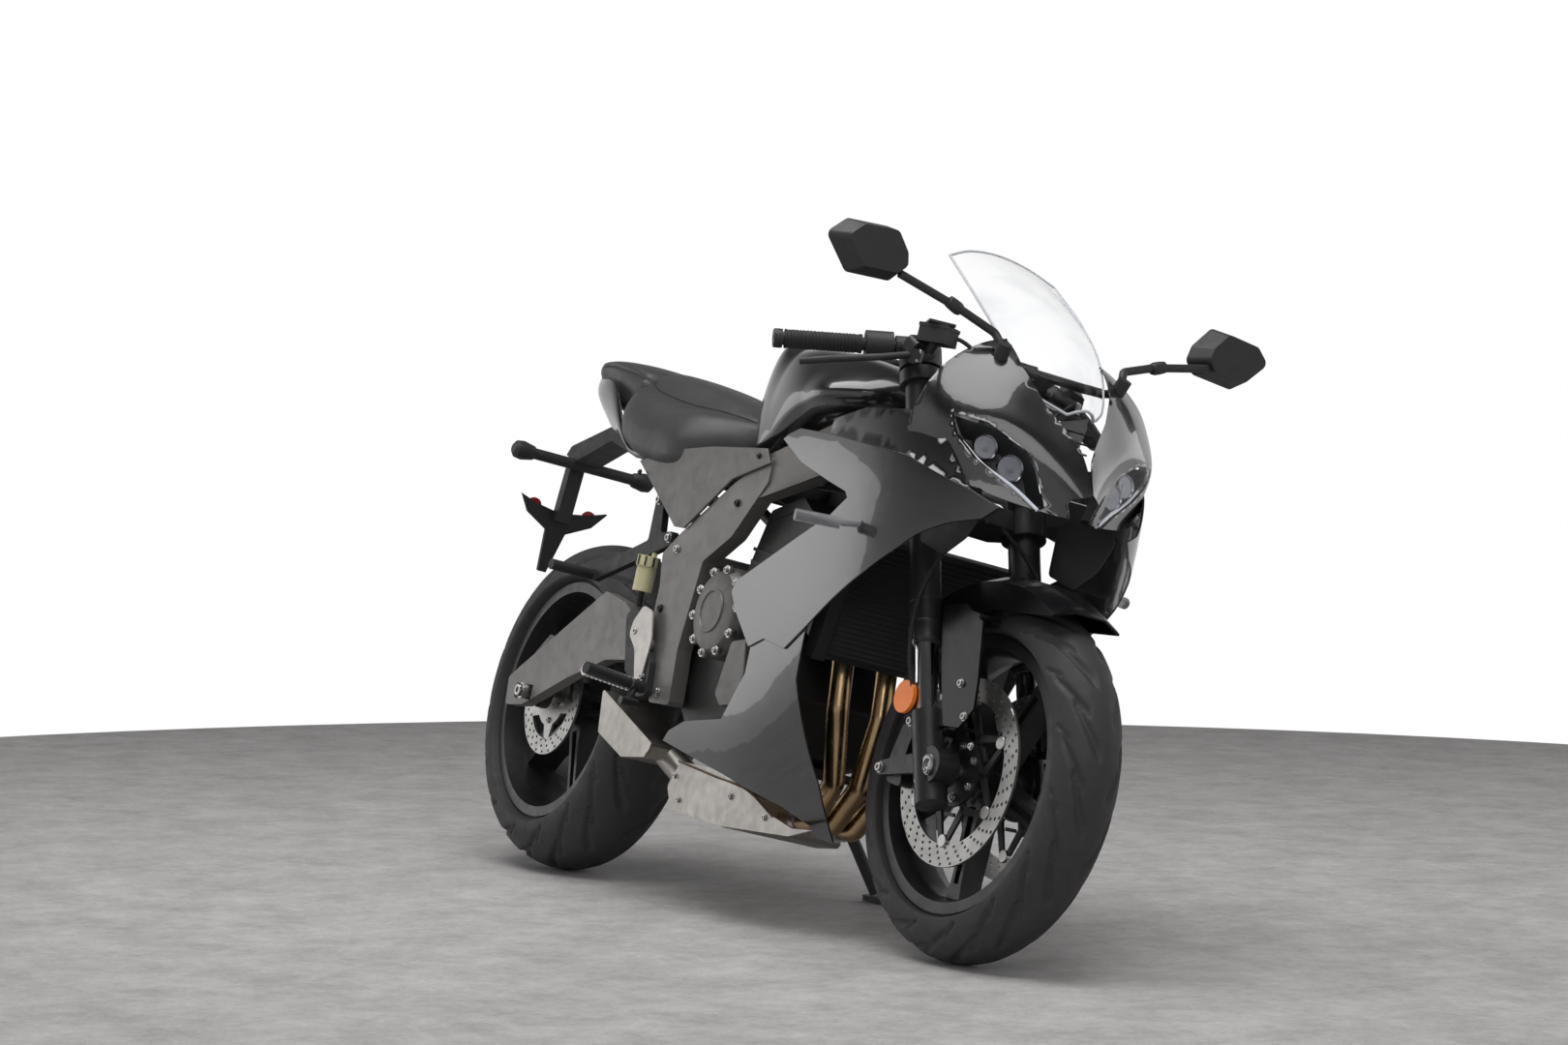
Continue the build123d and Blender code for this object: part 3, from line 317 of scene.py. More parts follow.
# Finishes: colour, metallic, roughness, how far they vary and over what scale, grain in m, edge wear, coat
finishes = {
    "glossBlack": dict(colour=(0.008, 0.008, 0.009), roughness=0.25, coat=1.0, coatRoughness=0.02,
                      spread=0.04, roughnessSpread=0.02),
    "deepBlack": dict(colour=(0.005, 0.005, 0.006), roughness=0.2, ior=1.33,
                      spread=0.04, roughnessSpread=0.03),
    "reflector": dict(colour=(0.34, 0.34, 0.36), metallic=1.0, roughness=0.16),
    "satinBlack": dict(colour=(0.014, 0.014, 0.015), roughness=0.38, grainScale=1400, grainDepth=0.00002),
    "mattBlack": dict(colour=(0.018, 0.018, 0.019), roughness=0.55, grainScale=1300, grainDepth=0.00004),
    "castGrey": dict(colour=(0.17, 0.16, 0.152), metallic=0.45, roughness=0.45,
                     grainScale=1300, grainDepth=0.00004, wear=0.3),
    "castDark": dict(colour=(0.04, 0.039, 0.038), metallic=0.45, roughness=0.45,
                     grainScale=1300, grainDepth=0.00005, wear=0.25),
    "coverGrey": dict(colour=(0.115, 0.109, 0.105), metallic=0.45, roughness=0.4,
                      grainScale=1400, grainDepth=0.00003, wear=0.15),
    "chrome": dict(colour=(0.72, 0.72, 0.73), metallic=1.0, roughness=0.09),
    "bareSteel": dict(colour=(0.42, 0.41, 0.4), metallic=1.0, roughness=0.32, spread=0.15),
    "bareAlloy": dict(colour=(0.5, 0.48, 0.45), metallic=0.9, roughness=0.45, spread=0.1),
    "chainSteel": dict(colour=(0.3, 0.28, 0.25), metallic=0.9, roughness=0.4, spread=0.3, scale=60),
    "darkSteel": dict(colour=(0.08, 0.075, 0.07), metallic=0.9, roughness=0.5, spread=0.2),
    "weldBrown": dict(colour=(0.22, 0.13, 0.08), metallic=0.9, roughness=0.45, spread=0.4, scale=120),
    "discSteel": dict(colour=(0.42, 0.415, 0.4), metallic=1.0, roughness=0.42, spread=0.06),
    "darkAnodised": dict(colour=(0.03, 0.03, 0.032), metallic=0.6, roughness=0.4),
    "brushedStainless": dict(colour=(0.36, 0.34, 0.315), metallic=1.0, roughness=0.4, spread=0.12),
    "headerBronze": dict(colour=(0.36, 0.25, 0.14), metallic=1.0, roughness=0.24, spread=0.4, scale=9),
    "rubber": dict(colour=(0.034, 0.032, 0.032), roughness=0.66, roughnessSpread=0.08,
                   grainScale=1500, grainDepth=0.00004),
    "gripRubber": dict(colour=(0.012, 0.012, 0.012), roughness=0.7, grainScale=1500, grainDepth=0.00005),
    "seatVinyl": dict(colour=(0.04, 0.038, 0.04), roughness=0.46, grainScale=700, grainDepth=0.0002),
    "radiatorBlack": dict(colour=(0.012, 0.012, 0.012), roughness=0.5),
    "radiatorGrey": dict(colour=(0.05, 0.05, 0.05), metallic=0.7, roughness=0.5),
    "clearLens": dict(colour=(0.96, 0.97, 1.0), roughness=0.02, transmission=1.0, ior=1.12),
    "screenClear": dict(colour=(0.985, 0.99, 1.0), roughness=0.01, transmission=1.0, ior=1.06),
    # pale grey for the screen's border: a painted highlight of the clear edge catching the light
    "edgeGlow": dict(colour=(0.5, 0.52, 0.55), roughness=0.3),
    "smokedLens": dict(colour=(0.35, 0.35, 0.37), roughness=0.12, transmission=0.6, ior=1.35),
    "whiteLens": dict(colour=(0.8, 0.82, 0.85), roughness=0.3, coat=0.6),
    "redLens": dict(colour=(0.35, 0.01, 0.012), roughness=0.15, coat=1.0, coatRoughness=0.04),
    "amberLens": dict(colour=(0.9, 0.2, 0.006), roughness=0.4, coat=0.25, coatRoughness=0.2),
    "dashGlass": dict(colour=(0.01, 0.011, 0.013), roughness=0.12, coat=1.0, coatRoughness=0.02),
    "reservoirClear": dict(colour=(0.55, 0.52, 0.3), roughness=0.3, spread=0.1),
}
nodeFinish = {
    "tyre": "rubber", "wheel_black": "satinBlack", "disc_steel": "discSteel", "steel": "bareSteel",
    "fork_black": "satinBlack", "chrome": "chrome", "control_black": "mattBlack", "grip_rubber": "gripRubber",
    "gloss_black": "glossBlack", "caliper_black": "satinBlack", "amber": "amberLens",
    "frame_grey": "castGrey",
    "engine_dark": "castDark", "cover_grey": "coverGrey", "radiator_black": "radiatorBlack",
    "header_bronze": "headerBronze", "stainless": "brushedStainless", "seat_vinyl": "seatVinyl",
    "cover_plastic": "coverGrey", "matte_black": "mattBlack", "lamp": "clearLens", "screen": "screenClear",
    "lamp_smoke": "smokedLens", "reservoir": "reservoirClear",
}


def makeFinish(name, look):
    material = bpy.data.materials.new(name)
    material.use_nodes = True
    tree = material.node_tree
    shader = tree.nodes["Principled BSDF"]
    base = node(tree, "ShaderNodeGroup", node_tree=breakup)
    base.inputs["Colour"].default_value = (*look["colour"], 1)
    base.inputs["Roughness"].default_value = look["roughness"]
    base.inputs["Scale"].default_value = look.get("scale", 8)
    base.inputs["Colour spread"].default_value = look.get("spread", 0.12)
    usual = min(0.06, look["roughness"] / 3)
    base.inputs["Roughness spread"].default_value = look.get("roughnessSpread", usual)
    colour = base.outputs["Colour"]
    if look.get("wear"):
        worn = node(tree, "ShaderNodeGroup", node_tree=edgeWear)
        worn.inputs["Amount"].default_value = look["wear"]
        mix = node(tree, "ShaderNodeMix", data_type="RGBA")
        mix.inputs["B"].default_value = tuple(min(1, 2.2 * c + 0.05) for c in look["colour"]) + (1,)
        link(tree, worn.outputs["Mask"], mix.inputs["Factor"])
        link(tree, colour, mix.inputs["A"])
        colour = mix.outputs["Result"]
    link(tree, colour, shader.inputs["Base Color"])
    link(tree, base.outputs["Roughness"], shader.inputs["Roughness"])
    shader.inputs["Metallic"].default_value = look.get("metallic", 0)
    shader.inputs["Coat Weight"].default_value = look.get("coat", 0)
    shader.inputs["Coat Roughness"].default_value = look.get("coatRoughness", 0.03)
    shader.inputs["Transmission Weight"].default_value = look.get("transmission", 0)
    shader.inputs["IOR"].default_value = look.get("ior", 1.5)
    if look.get("grainDepth"):
        skin = node(tree, "ShaderNodeGroup", node_tree=grain)
        skin.inputs["Scale"].default_value = look["grainScale"]
        bump = tree.nodes.new("ShaderNodeBump")
        bump.inputs["Distance"].default_value = look["grainDepth"]
        link(tree, skin.outputs["Height"], bump.inputs["Height"])
        link(tree, bump.outputs[0], shader.inputs["Normal"])
    return material


materials = {name: makeFinish(name, look) for name, look in finishes.items()}
slotOf = {}
for name, piece in frame["nodes"].items():
    slotOf[name] = piece.data.materials[0].name.split(".")[0] if piece.data.materials else ""
    piece.data.materials.clear()
    piece.data.materials.append(materials[nodeFinish.get(slotOf[name], "mattBlack")])
bodyOf = {node: body for body, nodes in frame["record"]["behaviour"]["bodies"].items() for node in nodes}
turning = ("steering", "front_wheel")
print("finishes set")


# Shape helpers, all in upright mm
def curveThrough(keys, values, at):
    # cubic Hermite between stations, slopes by central differences
    keys, values, at = (np.asarray(item, float) for item in (keys, values, at))
    slope = np.gradient(values, keys, axis=0)
    first = np.clip(np.searchsorted(keys, at) - 1, 0, len(keys) - 2)
    gap = keys[first + 1] - keys[first]
    t = (at - keys[first]) / gap
    shape = (-1,) + (1,) * (values.ndim - 1)
    t, gap = t.reshape(shape), gap.reshape(shape)
    return ((2 * t**3 - 3 * t**2 + 1) * values[first] + (t**3 - 2 * t**2 + t) * gap * slope[first]
            + (3 * t**2 - 2 * t**3) * values[first + 1] + (t**3 - t**2) * gap * slope[first + 1])


def pathThrough(points, count):
    points = np.asarray(points, float)
    keys = np.concatenate([[0], np.cumsum(np.linalg.norm(np.diff(points, axis=0), axis=1))])
    return curveThrough(keys, points, np.linspace(0, keys[-1], count))


def loopThrough(points, count):
    # closed Catmull-Rom loop: the points repeated three times round, the middle turn kept
    points = np.asarray(points, float)
    turns = np.concatenate([points, points, points, points[:1]])
    keys = np.arange(len(turns))
    return curveThrough(keys, turns, len(points) + np.arange(count) * len(points) / count)


def gridFaces(rows, columns, wrapRows=False, wrapColumns=False):
    # quads between neighbours of a grid of points, closed round one way or the other where asked
    a, b = np.meshgrid(np.arange(rows if wrapRows else rows - 1),
                       np.arange(columns if wrapColumns else columns - 1), indexing="ij")
    a, b = a.ravel(), b.ravel()
    nextA, nextB = (a + 1) % rows, (b + 1) % columns
    return np.stack([a * columns + b, nextA * columns + b, nextA * columns + nextB, a * columns + nextB], 1)


def tubeFaces(rows, around):
    # a closed tube of rings with a flat cap at both its ends
    faces = gridFaces(rows, around, wrapColumns=True).tolist()
    return faces + [list(range(around))[::-1], [(rows - 1) * around + n for n in range(around)]]


def framed(axis):
    # the axis as a unit vector, and two more square to it
    axis = np.asarray(axis, float) / np.linalg.norm(axis)
    side = np.cross(axis, (0, 0, 1) if abs(axis[2]) < 0.9 else (0, 1, 0))
    side /= np.linalg.norm(side)
    return axis, side, np.cross(axis, side)


def lathe(origin, axis, profile, sides=28):
    # profile of (along, radius) turned round the axis
    along, side, up = framed(axis)
    profile = np.asarray(profile, float)
    angle = np.linspace(0, 2 * np.pi, sides, endpoint=False)
    ring = np.cos(angle)[:, None] * side + np.sin(angle)[:, None] * up
    points = np.asarray(origin, float) + profile[:, None, :1] * along + profile[:, None, 1:] * ring[None]
    faces = gridFaces(len(profile), sides, wrapColumns=True).tolist()
    if profile[0, 1] > 0.01:
        faces.append(list(range(sides))[::-1])
    if profile[-1, 1] > 0.01:
        faces.append([(len(profile) - 1) * sides + n for n in range(sides)])
    return points.reshape(-1, 3), faces


def pipe(points, radius, sides=14, count=48, smooth=True):
    # circle carried along a path; radius may be a list along it
    path = pathThrough(points, count) if smooth else np.asarray(points, float)
    tangent = np.gradient(path, axis=0)
    tangent /= np.linalg.norm(tangent, axis=1)[:, None]
    steady = np.eye(3)[np.argmin(np.abs(tangent).max(0))]
    side = np.cross(tangent, steady)
    side /= np.linalg.norm(side, axis=1)[:, None]
    up = np.cross(side, tangent)
    size = np.broadcast_to(np.interp(np.linspace(0, 1, len(path)), np.linspace(0, 1, np.size(radius)),
                                     np.atleast_1d(radius)), (len(path),))
    angle = np.linspace(0, 2 * np.pi, sides, endpoint=False)
    points = (path[:, None] + size[:, None, None] * (np.cos(angle)[None, :, None] * side[:, None]
                                                     + np.sin(angle)[None, :, None] * up[:, None]))
    return points.reshape(-1, 3), tubeFaces(len(path), sides)


def rounded(outline, radius, steps=4):
    # each corner becomes a quadratic curve that starts a radius before it
    outline = np.asarray(outline, float)
    before = np.roll(outline, 1, 0) - outline
    after = np.roll(outline, -1, 0) - outline
    longBefore, longAfter = (np.linalg.norm(side, axis=1) for side in (before, after))
    reach = np.minimum(radius, 0.45 * np.minimum(longBefore, longAfter))
    start = outline + before * (reach / longBefore)[:, None]
    end = outline + after * (reach / longAfter)[:, None]
    t = np.linspace(0, 1, steps + 1)[None, :, None]
    curve = (1 - t)**2 * start[:, None] + 2 * t * (1 - t) * outline[:, None] + t**2 * end[:, None]
    return curve.reshape(-1, 2)


def plate(outline, origin, right, up, thick, radius=3):
    # outline in a plane, thickened along right x up
    right, up = np.asarray(right, float), np.asarray(up, float)
    normal = np.cross(right, up)
    flat = rounded(outline, radius) if radius else np.asarray(outline, float)
    base = np.asarray(origin, float) + flat[:, :1] * right + flat[:, 1:] * up
    return np.concatenate([base, base + thick * normal]), tubeFaces(2, len(base))


def sidePlate(outline, low, high, radius=3):
    # side view outline in x and z between two y values
    return plate(outline, (0, high, 0), (1, 0, 0), (0, 0, 1), high - low, radius)


def bolt(origin, axis, size):
    # washer, chamfered head and socket, as shares of the head's radius
    head = np.array(((0.14, 1.25), (0.16, 1), (0.72, 1), (0.85, 0.86), (0.85, 0.5), (0.45, 0.48))) * size
    return lathe(origin, axis, [(-0.5, size * 1.25), *head, (0.45 * size, 0.001)], 18)


def addPiece(name, finish, body, points, faces, replaced=(), sharp=38):
    mesh = bpy.data.meshes.new(name)
    moved = place(points, body in turning)
    mesh.from_pydata(moved.tolist(), [], faces if isinstance(faces, list) else faces.tolist())
    shape = bmesh.new()
    shape.from_mesh(mesh)
    bmesh.ops.remove_doubles(shape, verts=shape.verts, dist=1e-6)
    bmesh.ops.recalc_face_normals(shape, faces=shape.faces)
    shape.to_mesh(mesh)
    shape.free()
    mesh.polygons.foreach_set("use_smooth", np.ones(len(mesh.polygons), bool))
    mesh.set_sharp_from_angle(angle=np.radians(sharp))
    mesh.materials.append(materials[finish])
    piece = bpy.data.objects.new(name, mesh)
    bpy.context.scene.collection.objects.link(piece)
    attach(piece, body)
    if replaced:
        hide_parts(*replaced)
    return piece


# Small shapes of one name, finish and body are joined into one piece at the end
gathered = {}
standsFor = {
    "frontDiscs": ("front_discs",), "rearDisc": ("rear_disc",), "gripSleeves": ("grips",),
    "chainLinks": ("chain",),
}


def gather(name, finish, body, *shapes):
    gathered.setdefault((name, finish, body), []).extend(shapes)


def joinGathered():
    for (name, finish, body), shapes in gathered.items():
        points, faces, count = [], [], 0
        for where, polygons in shapes:
            points.append(where)
            faces += [[corner + count for corner in polygon] for polygon in polygons]
            count += len(where)
        addPiece(name, finish, body, np.concatenate(points), faces, standsFor.get(name, ()))


def both(shape):
    # the same shape on the machine's other side as well
    points, faces = shape
    return shape, (points * (1, -1, 1), [list(polygon)[::-1] for polygon in faces])


def refine(name, finish=None, bevel=0.7, limit=0.6, angle=32):
    # the solid's own mesh, merged, its small edges rounded
    mesh = frame["nodes"][name].data.copy()
    mesh.name = name + "Body"
    custom = mesh.attributes.get("custom_normal")
    if custom:
        mesh.attributes.remove(custom)
    shape = bmesh.new()
    shape.from_mesh(mesh)
    bmesh.ops.remove_doubles(shape, verts=shape.verts, dist=2e-5)
    if limit:
        bmesh.ops.dissolve_limit(shape, angle_limit=np.radians(limit), verts=shape.verts, edges=shape.edges)
    shape.to_mesh(mesh)
    shape.free()
    mesh.polygons.foreach_set("use_smooth", np.ones(len(mesh.polygons), bool))
    mesh.materials.clear()
    mesh.materials.append(materials[finish or nodeFinish.get(slotOf[name], "mattBlack")])
    piece = bpy.data.objects.new(name + "Body", mesh)
    bpy.context.scene.collection.objects.link(piece)
    if bevel:
        edge = piece.modifiers.new("edge", "BEVEL")
        edge.width, edge.segments, edge.limit_method = bevel / 1000, 2, "ANGLE"
        edge.angle_limit, edge.use_clamp_overlap = np.radians(angle), True
        even = piece.modifiers.new("even", "WEIGHTED_NORMAL")
        even.keep_sharp = True
    else:
        mesh.set_sharp_from_angle(angle=np.radians(angle))
    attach(piece, bodyOf[name])
    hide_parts(name)
    return piece


# Solids that keep their shape and get their edges rounded: node, finish, edge in mm
refined = (
    ("front_rim", None, 1.5), ("rear_rim", None, 1.5), ("fork_tubes", None, 0.8), ("fork_sliders", None, 0),
    ("fork_feet", None, 1.5), ("yokes", None, 1.5), ("front_axle", None, 0.6), ("handlebars", None, 0.8),
    ("calipers", None, 2), ("mudguard", "deepBlack", 1), ("reflectors", None, 2), ("frame", None, 2.5),
    ("subframe", None, 0.6), ("engine", None, 3), ("engine_covers", None, 2.5), ("radiator", None, 1.5),
    ("exhaust_headers", None, 0), ("silencer", None, 2), ("swingarm", None, 3), ("rear_axle", None, 0.8),
    ("rear_caliper", None, 1.5), ("rear_shock", None, 1), ("rear_sprocket", None, 0.6),
    ("side_covers", None, 1.5), ("plate_hanger", None, 1.2), ("mirrors", None, 2.5),
    ("footrests", None, 1), ("pillion_hangers", None, 1.5),
    ("rear_reservoir", None, 1), ("side_stand", None, 1), ("dash", None, 2), ("tail_cowl", None, 0.8),
    ("side_fairings", None, 0.8), ("upper_cowls", None, 0.8), ("lower_fairings", None, 0.8),
    ("headlamps", None, 0.8), ("windscreen", None, 0), ("front_indicators", None, 1.2),
)
skinned = ("side_fairings", "upper_cowls", "lower_fairings", "tail_cowl", "windscreen", "headlamps")
for name, finish, edge in refined:
    refine(name, finish, edge, 0 if name in skinned else 0.6)
print("solids refined")

# Tyres
tyre = {
    # which, axle, radius, width, rim's width, body
    "sizes": (("front", bike["frontAxle"], 300, 120, 98, "front_wheel"),
              ("rear", bike["rearAxle"], 315, 180, 150, "rear_wheel")),
    "around": 840, "across": 90,
    "pitches": 15,
    "depth": 6.0, "width": 4.6,
    # grooves of one pitch: start and end round it, start and end from middle to edge, bend, width
    "grooves": ((0.05, 0.95, 0.10, 0.62, 1.6, 1.0), (0.55, 1.35, 0.30, 0.86, 1.3, 0.85),
                (0.2, 0.5, 0.66, 0.93, 1.0, 0.6)),
    "rings": (50, 58), "ringDepth": 0.5,     # raised rings on the side wall, below the crown
}


def tyreProfile(radius, width, rimWidth, count):
    # half ellipse over the crown, Hermite side walls down to the beads; also how far across each point is
    seat, bead, high = 214.5, rimWidth / 2 - 5.3, 231
    belly = radius - (radius - 214.3) * 0.72
    crown = int(count * 0.62) // 2 * 2 + 1
    t = np.linspace(0, np.pi, crown)
    top = np.stack([-width / 2 * np.cos(t), belly + (radius - belly) * np.sin(t)], 1)
    wall = (count - crown) // 2 - 1
    s = np.linspace(0, 1, wall + 1)[1:, None]
    start, end = np.array([width / 2, belly]), np.array([bead, high])
    reach = np.linalg.norm(end - start)
    down = ((2 * s**3 - 3 * s**2 + 1) * start + (s**3 - 2 * s**2 + s) * reach * np.array([0, -1])
            + (3 * s**2 - 2 * s**3) * end + (s**3 - s**2) * reach * np.array([-0.93, -0.37]))
    right = np.concatenate([down, [[bead, seat]]])
    profile = np.concatenate([right[::-1] * (-1, 1), top, right])
    across = np.concatenate([np.full(len(right), -2.0), 2 * t / np.pi - 1, np.full(len(right), 2.0)])
    return profile, across


def buildTyre(label, axle, radius, width, rimWidth, body):
    profile, across = tyreProfile(radius, width, rimWidth, tyre["across"])
    tangent = np.gradient(profile, axis=0)
    normal = np.stack([-tangent[:, 1], tangent[:, 0]], 1) / np.linalg.norm(tangent, axis=1)[:, None]
    angle = np.linspace(0, 2 * np.pi, tyre["around"], endpoint=False)
    turn, spot = np.meshgrid(angle * tyre["pitches"] / (2 * np.pi), across, indexing="ij")
    turn = np.where(spot > 0, turn, turn + 0.5)          # the two halves are half a pitch apart
    pitch = 2 * np.pi * radius / tyre["pitches"]
    depth = np.zeros_like(turn)
    for begin, finishAt, low, high, bend, share in tyre["grooves"]:
        q = (np.abs(spot) - low) / (high - low)
        inside = np.clip(np.minimum(q, 1 - q) * 9, 0, 1) * (np.abs(spot) <= 1)
        line = begin + (finishAt - begin) * np.clip(q, 0, 1)**bend
        away = np.abs((turn - line + 0.5) % 1 - 0.5) * pitch
        slant = np.abs(finishAt - begin) * pitch / ((high - low) * width * 0.62)
        away = away / np.sqrt(1 + slant**2)
        cut = inside * np.clip(1.5 - away / (tyre["width"] * share), 0, 1) * tyre["depth"] * share
        depth = np.maximum(depth, cut)
    rings = np.abs(profile[:, 1] - (radius - np.array(tyre["rings"])[:, None])).min(0) < 1.3
    offset = -depth - tyre["ringDepth"] * (rings & (np.abs(across) > 1))[None]
    axial = profile[None, :, 0] + normal[None, :, 0] * offset
    radial = profile[None, :, 1] + normal[None, :, 1] * offset
    points = np.stack([axle[0] + radial * np.cos(angle)[:, None], axle[1] + axial,
                       axle[2] + radial * np.sin(angle)[:, None]], -1)
    addPiece(label + "Tyre", "rubber", body, points.reshape(-1, 3),
             gridFaces(len(angle), len(profile), True, False), (label + "_tyre",), 50)


for size in tyre["sizes"]:
    buildTyre(*size)
print("tyres cut")

# Brake discs: cells of a polar grid, each with a hole in its middle
disc = {
    "front": dict(radius=155, inner=119, thick=4.5, rows=4, cells=34, hole=3.1, ys=(-62, 62)),
    "rear": dict(radius=110, inner=78, thick=5, rows=3, cells=26, hole=3.1, y=-82),
    # arms of the front carriers, along an arm and across it; the slat that ties a pair; a bobbin's profile
    "arm": ((46, 34), (56, 27), (108, 4), (112, 13), (60, 40)),
    "tie": ((66, -13), (72, -13), (72, 13), (66, 13)),
    "bobbin": ((0, 4), (0, 10), (1, 11), (9, 11), (10, 10), (10, 4)),
    "bobbinCircle": 113, "arms": 6, "firstArm": 30, "armHalf": 2.5,
    "frontBolts": 42, "rearBolts": 44, "rearArms": 5, "rearFirstArm": 12,
    "rearArm": ((50, -17), (80, -9), (80, 9), (50, 17)),
}


def drilledRing(look, y):
    # each cell's border and its hole have the same number of points, joined by quads on both faces
    radius, inner, thick, rows, cells, hole = (
        look[key] for key in ("radius", "inner", "thick", "rows", "cells", "hole"))
    step, height = 2 * np.pi / cells, (radius - inner) / rows
    border = np.array([(-1, -1), (-0.33, -1), (0.33, -1), (1, -1), (1, -0.33), (1, 0.33), (1, 1), (0.33, 1),
                       (-0.33, 1), (-1, 1), (-1, 0.33), (-1, -0.33)]) / 2
    row, cell = np.meshgrid(np.arange(rows), np.arange(cells), indexing="ij")
    middle = inner + (row + 0.5) * height
    around = (cell + row / rows) * step
    compass = np.arctan2(border[:, 1] * height, border[:, 0] * step * radius * 0.85)
    edgeR = middle[..., None] + border[:, 1] * height
    edgeA = around[..., None] + border[:, 0] * step
    holeR = middle[..., None] + hole * np.sin(compass)
    holeA = around[..., None] + hole * np.cos(compass) / middle[..., None]
    r = np.stack([edgeR, holeR], -2)
    a = np.stack([edgeA, holeA], -2)
    layers = [np.stack([r * np.cos(a), np.full_like(r, y + side * thick / 2), r * np.sin(a)], -1)
              for side in (-1, 1)]
    points = np.stack(layers, 2).reshape(-1, 3)          # row, cell, face, border or hole, point
    base = np.arange(rows * cells)[:, None] * 48
    n = np.arange(12)
    m = (n + 1) % 12
    quads = []
    for a0, b0 in ((0, 12), (36, 24), (12, 36)):
        corners = np.stack([base + a0 + n, base + a0 + m, base + b0 + m, base + b0 + n], -1)
        quads.append(corners.reshape(-1, 4))
    faces = np.concatenate(quads).tolist()
    for size in (inner, radius):
        where, polygons = lathe((0, y, 0), (0, 1, 0), [(-thick / 2, size), (thick / 2, size)], 144)
        faces += [[corner + len(points) for corner in polygon] for polygon in polygons if len(polygon) == 4]
        points = np.concatenate([points, where])
    return points, faces


def spoke(degrees):
    # unit vectors along an arm of a disc and across it
    angle = np.radians(degrees)
    return np.array([np.cos(angle), 0, -np.sin(angle)]), np.array([np.sin(angle), 0, np.cos(angle)])


def buildFrontDiscs():
    look, half = disc["front"], disc["armHalf"]
    axle = np.array(bike["frontAxle"], float)
    ring = ((0, 30), (0, 56), (2 * half, 56), (2 * half, 30), (0, 30))
    for y in look["ys"]:
        points, faces = drilledRing(look, y)
        gather("frontDiscs", "discSteel", "front_wheel", (points + axle, faces))
        out, root = np.sign(y), axle + (0, y, 0)
        for n in range(disc["arms"]):
            along, cross = spoke(disc["firstArm"] + 360 * n / disc["arms"])
            left = list(disc["arm"])
            right = [(reach, -wide) for reach, wide in left[::-1]]
            for outline, corner in ((left, 4), (right, 4), (disc["tie"], 1)):
                gather("discCarriers", "darkAnodised", "front_wheel",
                       plate(outline, root - (0, half, 0), along, cross, -2 * half, corner))
            gather("discBobbins", "bareSteel", "front_wheel",
                   lathe(root + along * disc["bobbinCircle"] - (0, 5, 0), (0, 1, 0), disc["bobbin"], 24))
            gather("hubBolts", "bareSteel", "front_wheel",
                   bolt(root + along * disc["frontBolts"] + (0, out * 3, 0), (0, out, 0), 6))
        gather("discCarriers", "darkAnodised", "front_wheel", lathe(root - (0, half, 0), (0, 1, 0), ring, 64))


def buildRearDisc():
    look = disc["rear"]
    axle = np.array(bike["rearAxle"], float)
    root = axle + (0, look["y"], 0)
    points, faces = drilledRing(look, look["y"])
    gather("rearDisc", "discSteel", "rear_wheel", (points + axle, faces))
    for n in range(disc["rearArms"]):
        along, cross = spoke(disc["rearFirstArm"] + 360 * n / disc["rearArms"])
        gather("rearDisc", "discSteel", "rear_wheel",
               plate(disc["rearArm"], root - (0, 2.4, 0), along, cross, -4.8, 2))
        gather("rearHubBolts", "bareSteel", "rear_wheel",
               bolt(root + along * disc["rearBolts"] + (0, -2.5, 0), (0, -1, 0), 5.5))
    gather("rearDisc", "discSteel", "rear_wheel",
           lathe(root - (0, 2.5, 0), (0, 1, 0), ((0, 34), (0, 54), (5, 54), (5, 34), (0, 34)), 64),
           lathe(root, (0, 1, 0), ((2.5, 34), (2.5, 44), (16, 44), (16, 34), (2.5, 34)), 48))


buildFrontDiscs()
buildRearDisc()
print("discs drilled")

# Seats
seats = {
    "rider": {
        "node": "rider_seat", "crown": 7, "fill": 0.75,
        # x, then y and z of the raised middle's edge, the sewn crease, the shoulder, the side and the base
        "sections": ((-168, (24, 868), (44, 862), (60, 846), (66, 815), (44, 735)),
                     (-200, (38, 880), (66, 869), (92, 852), (104, 812), (74, 742)),
                     (-260, (48, 898), (86, 878), (130, 858), (158, 806), (132, 757)),
                     (-380, (56, 926), (96, 890), (144, 868), (172, 818), (150, 766)),
                     (-480, (60, 944), (97, 906), (142, 884), (168, 832), (140, 786)),
                     (-560, (60, 956), (90, 924), (126, 904), (146, 858), (118, 818)),
                     (-600, (58, 960), (82, 940), (106, 922), (116, 886), (92, 850))),
    },
    "pillion": {
        "node": "pillion_seat", "crown": 6, "fill": 0.8,
        # x, then y and z of the top's edge, the shoulder, the side and the base
        "sections": ((-606, (64, 954), (86, 938), (89, 905), (74, 854)),
                     (-650, (70, 966), (90, 950), (92, 915), (74, 866)),
                     (-700, (75, 974), (92, 959), (92, 925), (71, 877)),
                     (-800, (66, 981), (77, 969), (73, 948), (55, 918)),
                     (-860, (50, 981), (62, 971), (60, 954), (42, 934)),
                     (-886, (38, 978), (47, 970), (45, 957), (30, 942))),
    },
    "rows": 110, "around": 96,
    "seamDeep": 2.6, "seamHalf": 0.012, "welt": 1.3,      # mm, share of the way round, mm
}


